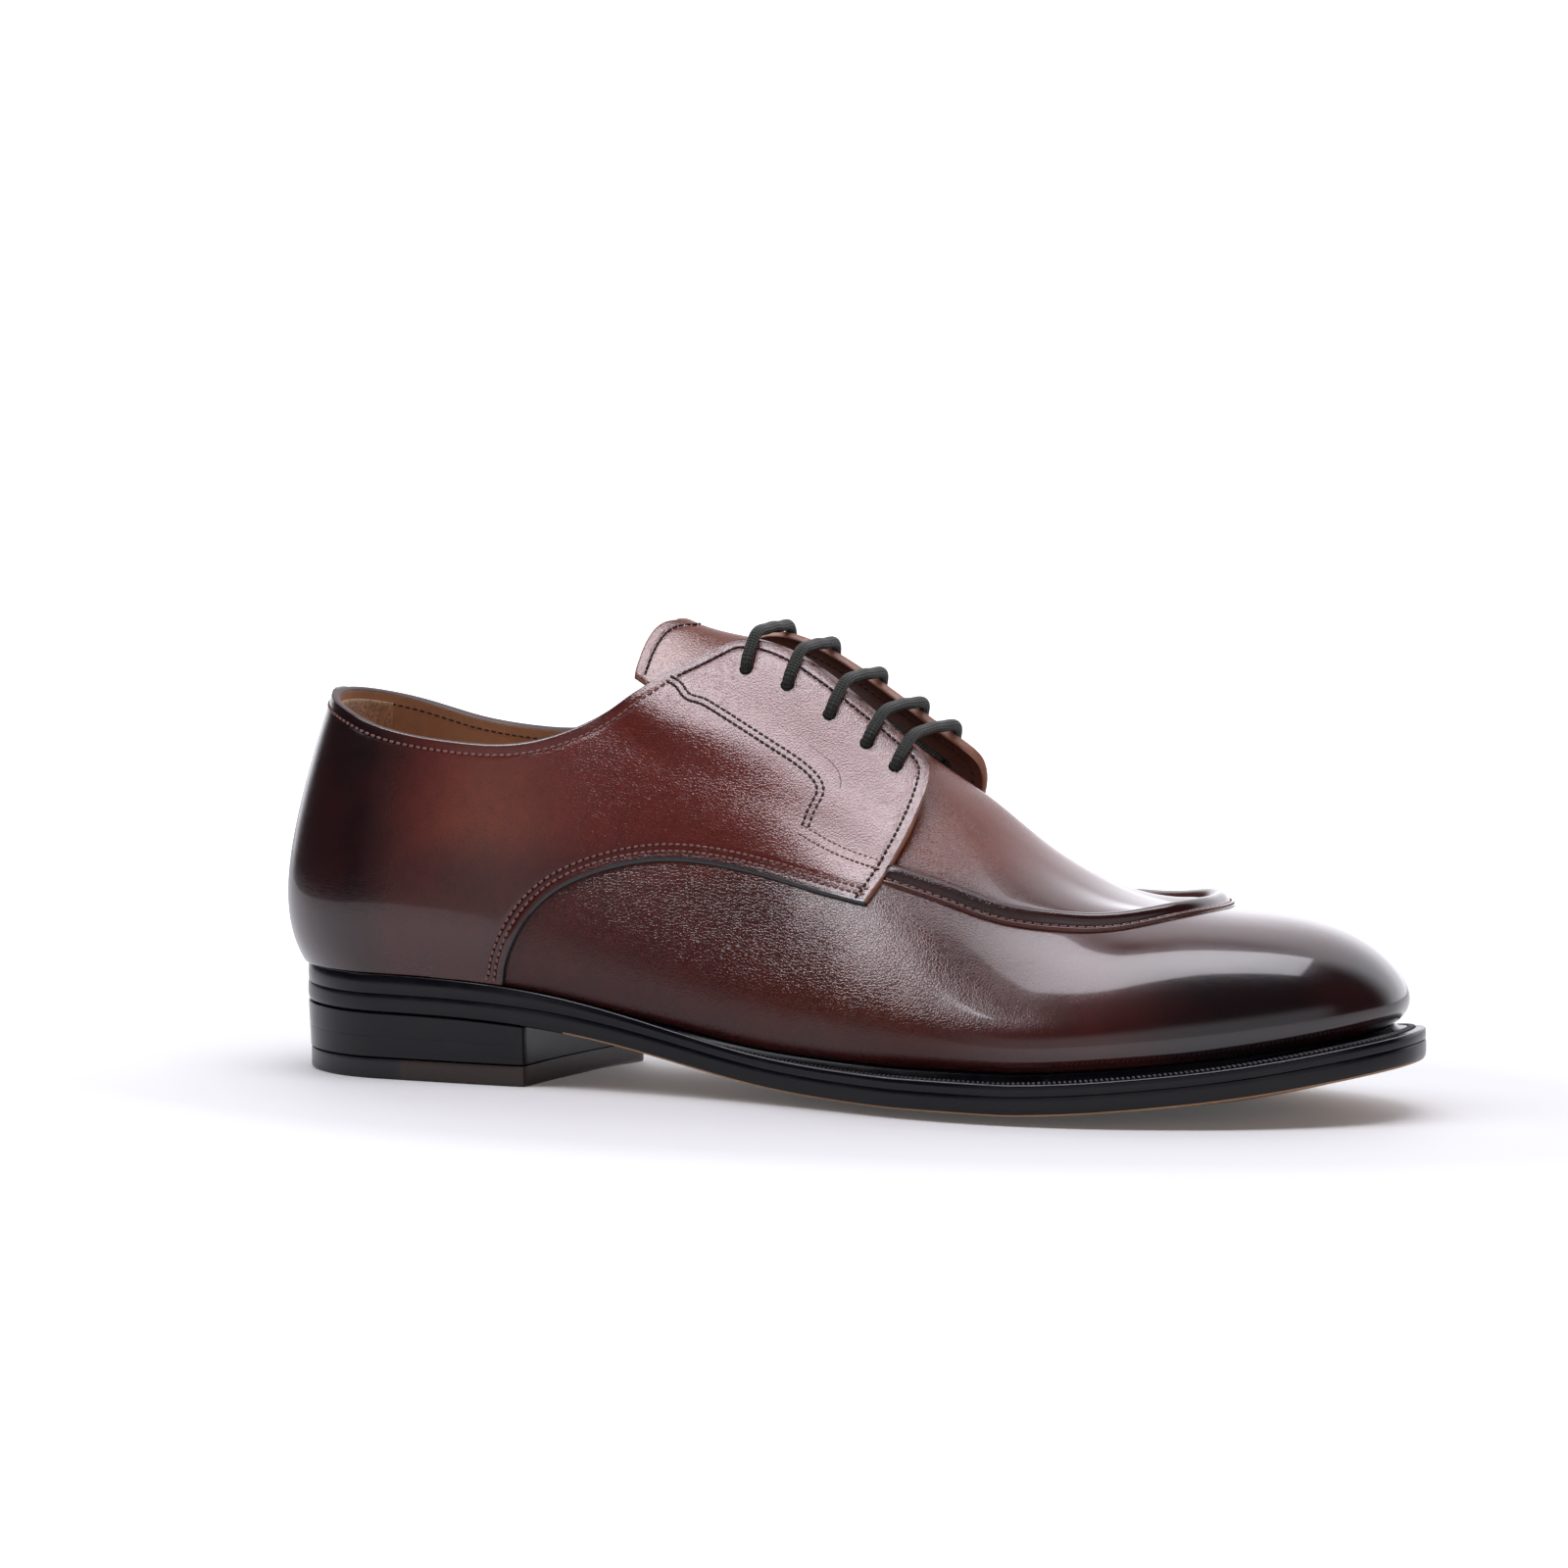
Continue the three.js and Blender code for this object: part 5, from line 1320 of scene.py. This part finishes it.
def lace_material():
    material, tree, surface, _ = new_material("waxed lace")
    weave = tree.add("ShaderNodeUVMap", {"uv_map": "weave"}).outputs[0]
    parts = tree.add("ShaderNodeSeparateXYZ", {}, Vector=weave)
    around, along = parts.outputs[0], parts.outputs[1]
    strands = []
    for way in (1, -1):
        slant = tree.math("ADD", tree.math("MULTIPLY", around, 6.0), tree.math("MULTIPLY", along, 0.62 * way))
        strands.append(tree.math("SINE", tree.math("MULTIPLY", slant, TURN)))
    braid = tree.math("MULTIPLY", strands[0], strands[1])
    height = tree.range(braid, -1.0, 1.0)
    surface_colour = tree.mix(height, colour(0.006, 0.007, 0.006), colour(0.040, 0.043, 0.035))
    tree.shade(surface, Base_Color=surface_colour, Roughness=0.5, Specular_IOR_Level=0.35)
    tree.bump(surface, height, 1.0, 0.0004)
    return material


def tube(path, high, wide, sides=20, step=0.35):
    """Points, faces and corner places (round, along) of a closed tube, high and wide by half sizes."""
    gone = gone_along(path)
    curve = Table("at x y z", *np.column_stack([gone, path]))
    at = np.linspace(0, gone[-1], int(gone[-1] / step) + 2)
    spine = np.stack([curve.x_of(at), curve.y(at), curve.z(at)], 1)
    tangent = np.gradient(spine, axis=0)
    tangent /= np.linalg.norm(tangent, axis=1, keepdims=True)
    up = np.array([0.0, 0.0, 1.0]) if abs(tangent[0][2]) < 0.9 else np.array([1.0, 0.0, 0.0])
    points, ups = [], []
    for direction in tangent:
        up = up - direction * up.dot(direction)
        up /= np.linalg.norm(up)
        ups.append(up)
    ups = np.array(ups)
    sideways = np.cross(tangent, ups)
    turn = TURN * np.arange(sides)[:, None] / sides
    ring = ups[:, None, :] * high * np.sin(turn) + sideways[:, None, :] * wide * np.cos(turn)
    points = (spine[:, None, :] + ring).reshape(-1, 3)
    n = len(at)
    faces, places = [], []
    for i in range(n - 1):
        for k in range(sides):
            o = (k + 1) % sides
            faces.append((i * sides + k, i * sides + o, (i + 1) * sides + o, (i + 1) * sides + k))
            a, b = k / sides, (k + 1) / sides
            places += [(a, at[i]), (b, at[i]), (b, at[i + 1]), (a, at[i + 1])]
    for ring_start, sign in ((0, -1), ((n - 1) * sides, 1)):
        faces.append(tuple(ring_start + k for k in range(sides))[::-sign])
        places += [(0, 0)] * sides
    return points, faces, places


def on_facing(pair, is_outer, share, height):
    """A point over an eyelet (share 0) or the facing's edge above it (share 1)."""
    angle, up, edge_up = eyelet_spot(pair, is_outer)
    now = lerp(up, edge_up, share)
    return shell_point(angle, now, facing_lift(angle, now) + height)


lace_parts = []
over = lace_radius + 0.1
climb = ((0.0, -4.0), (0.0, -1.6), (0.02, 0.2), (0.14, 1.35), (0.32, over), (0.66, over), (1.0, over + 0.05))
for pair in range(eyelet_pairs):
    rise_out = [on_facing(pair, True, share, height) for share, height in climb]
    rise_in = [on_facing(pair, False, share, height) for share, height in climb][::-1]
    across = [lerp(rise_out[-1], rise_in[0], share) + np.array([0, 0, lace_arch * math.sin(math.pi * share)])
              for share in (0.3, 0.5, 0.7)]
    path = np.array(rise_out + across + rise_in)
    lace_parts.append(tube(path, lace_radius, lace_radius))
runs = [(pair, pair + 1, pair % 2 == 1) for pair in range(eyelet_pairs - 1)]
runs.append((0, eyelet_pairs - 1, (eyelet_pairs - 1) % 2 == 1))
for start_pair, end_pair, is_outer in runs:
    shift = 0.0 if end_pair - start_pair == 1 else 0.28
    stops = np.linspace(start_pair, end_pair, 3 * (end_pair - start_pair) + 1)
    path = []
    for stop in stops:
        low = int(min(stop, eyelet_pairs - 2))
        a = on_facing(low, is_outer, shift, -quarter_wall - lace_under)
        b = on_facing(low + 1, is_outer, shift, -quarter_wall - lace_under)
        path.append(lerp(a, b, stop - low))
    lace_parts.append(tube(np.array(path), flat_lace_high, flat_lace_wide, sides=12, step=1.0))
points, faces, places = [], [], []
for part_points, part_faces, part_places in lace_parts:
    start = sum(len(part) for part in points)
    points.append(part_points)
    faces += [tuple(start + v for v in face) for face in part_faces]
    places += part_places
mesh = bpy.data.meshes.new("lace")
mesh.from_pydata((np.concatenate(points) + frame_shift) / 1000, [], faces)
mesh.uv_layers.new(name="weave").data.foreach_set("uv", np.array(places, np.float32).ravel())
mesh.materials.append(lace_material())
mesh.polygons.foreach_set("use_smooth", [True] * len(mesh.polygons))
build = bmesh.new()
build.from_mesh(mesh)
bmesh.ops.recalc_face_normals(build, faces=build.faces)
build.to_mesh(mesh)
build.free()
lace = add_object("lace", mesh)
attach(lace, "root")
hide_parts(*[f"lace_bar_{pair + 1}" for pair in range(eyelet_pairs)])

# Stitches
# Waxed thread, sewn by machine. Each visible stitch lies between two needle holes, a little sunk.
def thread(name, base, light):
    material, tree, surface, place = new_material(name)
    fibre = tree.noise(place, 2500.0, 2.0).outputs[0]
    tree.shade(surface, Base_Color=tree.mix(tree.range(fibre, 0.3, 0.7), base, light), Roughness=0.5)
    return material


dark_thread = thread("dark thread", colour(0.014, 0.005, 0.006), colour(0.050, 0.018, 0.018))
rose_thread = thread("rose thread", colour(0.12, 0.040, 0.035), colour(0.30, 0.13, 0.11))
lip_thread = thread("lip thread", colour(0.13, 0.045, 0.038), colour(0.30, 0.12, 0.10))


def first_cross(value, target):
    """For each row, where its values first rise past the target, as a share of the row's length."""
    past = value >= target
    k = np.argmax(past, axis=1)
    k0 = np.maximum(k - 1, 0)
    row = np.arange(len(value))
    low, high = value[row, k0], value[row, k]
    part = np.where(k > 0, (target - low) / np.maximum(high - low, 1e-6), 0)
    return (k0 + part) / (value.shape[1] - 1), past.any(axis=1)


def quarter_row(s, t, is_outer, sink=0.0):
    """A row at shares of the quarter, with its normals."""
    spot = quarter_spot(s, t, is_outer)
    angle = on_side(spot[..., 0], is_outer)
    normal = last_normal(angle, spot[..., 1])
    return resample_row(quarter_point(s, t, sink, is_outer), normal)


def resample_row(line, normal, step=0.5):
    gone = gone_along(line)
    at = np.linspace(0, gone[-1], max(2, int(gone[-1] / step)))
    spread = [np.stack([np.interp(at, gone, part[:, k]) for k in range(3)], 1) for part in (line, normal)]
    return spread[0], spread[1]


def rim_row(gap, is_outer, sink, from_side=0.0, to_side=1.0):
    """A row at one distance from the topline and, to the end, from the facing's front edge."""
    top_gap, front_gap, seam_gap = edge_gaps[is_outer]
    s = np.linspace(from_side, min(to_side, 0.995), 260)
    t = np.linspace(1, 0.80, 50)
    near = quarter_point(s[:, None], t[None, :], 0.0, is_outer)
    share, found = first_cross(np.minimum(top_gap(near), 99), gap)
    t_top = lerp(1, 0.80, share)
    ok = found & (front_gap(quarter_point(s, t_top, 0.0, is_outer)) > gap)
    top = np.column_stack([s[ok], t_top[ok]])
    if to_side < 1:
        return quarter_row(top[:, 0], top[:, 1], is_outer, sink)
    t2 = np.linspace(0.97, 0.03, 120)
    s2 = np.linspace(1, 0.95, 40)
    near = quarter_point(s2[None, :], t2[:, None], 0.0, is_outer)
    share, found = first_cross(front_gap(near), gap)
    s_front = lerp(1, 0.95, share)
    place = quarter_point(s_front, t2, 0.0, is_outer)
    ok = found & (top_gap(place) > gap) & (seam_gap(place) > 1.2)
    front = np.column_stack([s_front[ok], t2[ok]])
    both = np.concatenate([top, front])
    return quarter_row(both[:, 0], both[:, 1], is_outer, sink)


def seam_row(gap, is_outer):
    seam_gap, front_gap = edge_gaps[is_outer][2], edge_gaps[is_outer][1]
    s = np.linspace(foot_share - 0.03, 0.995, 300)
    t = np.linspace(0, 0.45, 80)
    near = quarter_point(s[:, None], t[None, :], 0.0, is_outer)
    share, found = first_cross(seam_gap(near), gap)
    t_row = 0.45 * share
    place = quarter_point(s, t_row, 0.0, is_outer)
    is_over_welt = place[:, 2] > feather_height(place[:, 0]) + 1.0
    ok = found & (front_gap(place) > 1.6) & is_over_welt & (t_row > 0.001)
    return quarter_row(s[ok], t_row[ok], is_outer)


def curve_through(points, count=160):
    gone = gone_along(points)
    gone /= gone[-1]
    at = np.linspace(0, 1, count)
    curve = Table("at a b", *np.column_stack([gone, points]))
    line = np.stack([curve.a(at), curve.b(at)], 1)
    for _ in range(4):
        line[1:-1] = (line[:-2] + 2 * line[1:-1] + line[2:]) / 4
    return line


# Shares along the quarter and up from its lower edge
facing_shares = curve_through(np.array([
    (0.665, 0.93), (0.68, 0.81), (0.70, 0.68), (0.72, 0.64), (0.77, 0.57), (0.81, 0.54),
    (0.86, 0.52), (0.885, 0.475), (0.89, 0.39), (0.895, 0.29),
]))
bar_shares = curve_through(np.array([
    (0.893, 0.255), (0.94, 0.24), (0.99, 0.255),
]), 60)
pressed_shares = curve_through(np.array([
    (0.845, 0.61), (0.87, 0.605), (0.89, 0.575), (0.90, 0.51), (0.905, 0.42),
]), 60)


def beside(shares, is_outer, shift, sink=0.0):
    """A row beside a line of shares, shifted over the surface by millimetres."""
    line, normal = quarter_row(shares[:, 0], shares[:, 1], is_outer, sink)
    for _ in range(30):
        line[1:-1] = (line[:-2] + 2 * line[1:-1] + line[2:]) / 4
    away = np.cross(np.gradient(line, axis=0), normal)
    away /= np.linalg.norm(away, axis=1, keepdims=True)
    return line + away * shift, normal


rose_rows, dark_rows, fine_rows, inside_rows, pressed_rows = [], [], [], [], []
for is_outer in (True, False):
    sign = 1 if is_outer else -1
    rose_rows.append(rim_row(rim_stitches, is_outer, 0.0, strip_end * 1.02, collar_end))
    dark_rows.append(rim_row(rim_stitches, is_outer, 0.0, collar_end + 0.01))
    rose_rows += [seam_row(gap, is_outer) for gap in seam_stitches]
    dark_rows += [beside(facing_shares, is_outer, 0.0), beside(facing_shares, is_outer, 1.7 * sign)]
    fine_rows += [beside(bar_shares, is_outer, -1.2 * sign), beside(bar_shares, is_outer, 1.2 * sign)]
    pressed_rows.append(beside(pressed_shares, is_outer, 0.0, 0.12))
    line, normal = rim_row(rim_stitches, is_outer, quarter_wall + 0.02, strip_end)
    inside_rows.append((line, -normal))
strip_rows = []
for side in (-1, 1):
    column = np.full(80, side * strip_end * (1 - 1.5 / (back_strip_width / 2)))
    shares = np.linspace(0.03, 0.985, 80)
    line = quarter_point(np.abs(column), shares, -back_strip_step + 0.12, side > 0)
    spot = quarter_spot(np.abs(column), shares, side > 0)
    angle = on_side(spot[:, 0], side > 0)
    strip_rows.append(resample_row(line, last_normal(angle, spot[:, 1])))
lip_row = shell_point(vamp_angles[is_stitched], seam_up[is_stitched] - 2.05 / seam_girth[is_stitched], 0.66)
lip_out = last_normal(vamp_angles[is_stitched], seam_up[is_stitched])
free = np.linspace(-0.93, 0.93, 240)
tongue_length = np.linalg.norm(tongue_point(1.0, free, 0.0) - tongue_point(0.9, free, 0.0), axis=1) / 0.1
tongue_row = tongue_point(1 - rim_stitches / tongue_length, free, 0.05)
across = np.gradient(tongue_row, axis=0)
lengthways = tongue_point(1 - rim_stitches / tongue_length, free, 0.0) - tongue_point(0.9, free, 0.0)
tongue_out = np.cross(across, lengthways)
tongue_out /= np.linalg.norm(tongue_out, axis=1, keepdims=True)
tongue_out *= np.sign(tongue_out[:, 2:3])
rose_pitch, dark_pitch, fine_pitch, strip_pitch, apron_pitch = 1.9, 1.75, 1.4, 2.0, 2.2


def between(rows, pitch):
    """The same rows, started half a pitch further on, where the needle holes lie."""
    skip = int(round(pitch / 2 / 0.5))
    return [(line[skip:], out[skip:]) for line, out in rows]


# Near-black pieces set in the needle holes and along the pressed line on the facing: painted shade in the
# holes and in the crease.
hole_and_crease_shade, tree, surface, _ = new_material("needle holes")
tree.shade(surface, Base_Color=colour(0.004, 0.002, 0.002), Roughness=0.9, Specular_IOR_Level=0.1)
apron_rows = [resample_row(lip_row, lip_out)]
tongue_rows = [resample_row(tongue_row, tongue_out)]
for name, rows, pitch, size, slant, material in (
        ("topline_stitches", rose_rows, rose_pitch, (1.55, 0.7, 0.55), 0.0, rose_thread),
        ("facing_and_seam_stitches", dark_rows, dark_pitch, (1.5, 0.78, 0.62), 0.0, dark_thread),
        ("bar_stitches", fine_rows, fine_pitch, (1.15, 0.62, 0.5), 0.0, rose_thread),
        ("back_strip_stitches", strip_rows, strip_pitch, (1.6, 0.6, 0.46), 0.0, dark_thread),
        ("lining_stitches", inside_rows, strip_pitch, (1.6, 0.6, 0.46), 0.0, dark_thread),
        ("apron_stitches", apron_rows, apron_pitch, (1.6, 0.6, 0.46), 0.12, lip_thread),
        ("tongue_stitches", tongue_rows, rose_pitch, (1.55, 0.6, 0.46), 0.0, dark_thread)):
    along_rows(name, rows, pitch, size, slant, 0.06, material)
for name, rows, pitch in (
        ("quarter_needle_holes", dark_rows, dark_pitch), ("topline_needle_holes", rose_rows, rose_pitch),
        ("apron_needle_holes", apron_rows, apron_pitch), ("tongue_needle_holes", tongue_rows, rose_pitch)):
    along_rows(name, between(rows, pitch), pitch, (0.6, 0.7, 0.3), 0.0, 0.0, hole_and_crease_shade)
# The pressed line on the facing is drawn as a dark row: painted shade of a crease.
along_rows("pressed_line", pressed_rows, 0.4, (0.7, 0.4, 0.3), 0.0, 0.0, hole_and_crease_shade)

# Stage
# A plain white floor and backdrop, one long soft light overhead in front, and the camera.
camera_turn, camera_rise, camera_far = math.radians(22), math.radians(5.4), 1.8
camera_lens = 162
camera_target = (np.array([131.7, 0, 77.2]) + frame_shift) / 1000
to_camera = np.array([math.sin(camera_turn), -math.cos(camera_turn), 0])
to_right = np.array([math.cos(camera_turn), math.sin(camera_turn), 0])


def on_stage(right, front, up):
    """A place by metres to the camera's right, towards the camera, and up."""
    return tuple(camera_target * (1, 1, 0) + right * to_right + front * to_camera + np.array([0, 0, up]))


floor_mesh = bpy.data.meshes.new("floor")
floor_left, floor_right, floor_front, floor_back = -0.62, 2.2, 1.6, -2.5
floor_plan = ((floor_left, floor_front), (floor_right, floor_front), (floor_right, floor_back),
              (floor_left, floor_back))
floor_mesh.from_pydata([on_stage(*corner, 0) for corner in floor_plan], [], [(0, 1, 2, 3)])
floor = add_object("floor", floor_mesh)
floor_material, floor_tree, floor_surface, floor_place = new_material("white floor")
floor_tree.shade(floor_surface, Base_Color=colour(0.8, 0.8, 0.8), Roughness=0.7, Specular_IOR_Level=0.2,
                 Emission_Color=colour(1, 1, 1))
about = floor_tree.add("ShaderNodeMapping", {}, Vector=floor_place)
about.inputs["Scale"].default_value = (1 / 0.22, 1 / 0.11, 0)
away = floor_tree.add("ShaderNodeVectorMath", {"operation": "LENGTH"}, _0=about.outputs[0])
fade = floor_tree.range(away.outputs["Value"], 1.0, 3.0, 0.06, 0.8)
seen_directly = floor_tree.add("ShaderNodeLightPath").outputs["Is Camera Ray"]
floor_tree.set(floor_surface.inputs["Emission Strength"], floor_tree.math("MULTIPLY", fade, seen_directly))
floor_mesh.materials.append(floor_material)

world = bpy.data.worlds.new("studio")
bpy.context.scene.world = world
world.use_nodes = True
tree = Nodes(world.node_tree)
direction = tree.add("ShaderNodeTexCoord").outputs["Generated"]


def along_direction(vector):
    node = tree.add("ShaderNodeVectorMath", {"operation": "DOT_PRODUCT"}, _0=direction)
    node.inputs[1].default_value = tuple(vector)
    return node.outputs["Value"]


def ramp(value, low, high):
    node = tree.range(value, low, high)
    node.interpolation_type = "SMOOTHSTEP"
    return node


front, right, high = along_direction(to_camera), along_direction(to_right), along_direction((0, 0, 1))
turn = tree.math("MULTIPLY", tree.math("ARCTAN2", right, front), 180 / math.pi)
rise = tree.math("MULTIPLY", tree.math("ARCSINE", high), 180 / math.pi)
backdrop = tree.math("MAXIMUM", ramp(turn, 82, 118), ramp(turn, -138, -160))
backdrop = tree.math("MULTIPLY", backdrop, ramp(rise, 86, 60))
overhead = tree.math("MULTIPLY", ramp(rise, 72, 82), 0.8)
card = tree.math("MULTIPLY", ramp(turn, -50, -38), ramp(turn, 50, 38))
card = tree.math("MULTIPLY", card, ramp(rise, 32, 18))
total = tree.math("ADD", tree.math("MULTIPLY", backdrop, 1.5), tree.math("MULTIPLY", card, 0.5))
total = tree.math("ADD", tree.math("ADD", total, overhead), 0.03)
seen = tree.add("ShaderNodeLightPath").outputs["Is Camera Ray"]
white = tree.add("ShaderNodeMix", {"data_type": "FLOAT"}, _0=seen, _2=total, _3=1.1)
background = world.node_tree.nodes["Background"]
background.inputs["Color"].default_value = colour(0.985, 0.98, 1.04)
tree.set(background.inputs["Strength"], white.outputs[0])


def soft_panel(name, place, wide, deep, radiance, only_gloss, lit=()):
    """A level soft light. One for gloss alone works as a reflector card, for the pieces in lit if given."""
    light = bpy.data.lights.new(name, "AREA")
    light.shape = "RECTANGLE"
    light.color = (0.985, 0.97, 1.04)
    light.size, light.size_y = wide, deep
    light.energy = radiance * math.pi * wide * deep
    panel = add_object(name, light)
    panel.location = on_stage(*place)
    panel.rotation_euler = (0, 0, camera_turn)
    panel.visible_camera = False
    panel.visible_diffuse = not only_gloss
    if lit:
        chosen = bpy.data.collections.new(name + " falls on")
        for piece in lit:
            chosen.objects.link(piece)
        panel.light_linking.receiver_collection = chosen


soft_panel("overhead bank", (-0.61, 0.16, 1.05), 2.28, 0.42, 4.8, False)
soft_panel("side card", (-0.30, 0.175, 0.36), 0.34, 0.27, 12.0, True, (vamp,))
soft_panel("instep card", (-0.10, 0.185, 0.43), 0.42, 0.27, 14.0, True, (quarters, tongue))

back = Vector(to_camera * math.cos(camera_rise) + np.array([0, 0, math.sin(camera_rise)]))
camera_data = bpy.data.cameras.new("camera")
camera_data.sensor_width = 36
camera_data.lens = camera_lens
camera = add_object("camera", camera_data)
camera.location = Vector(camera_target) + back * camera_far
camera.rotation_euler = back.to_track_quat("Z", "Y").to_euler()
bpy.context.scene.camera = camera
bpy.context.scene.view_settings.view_transform = "Standard"
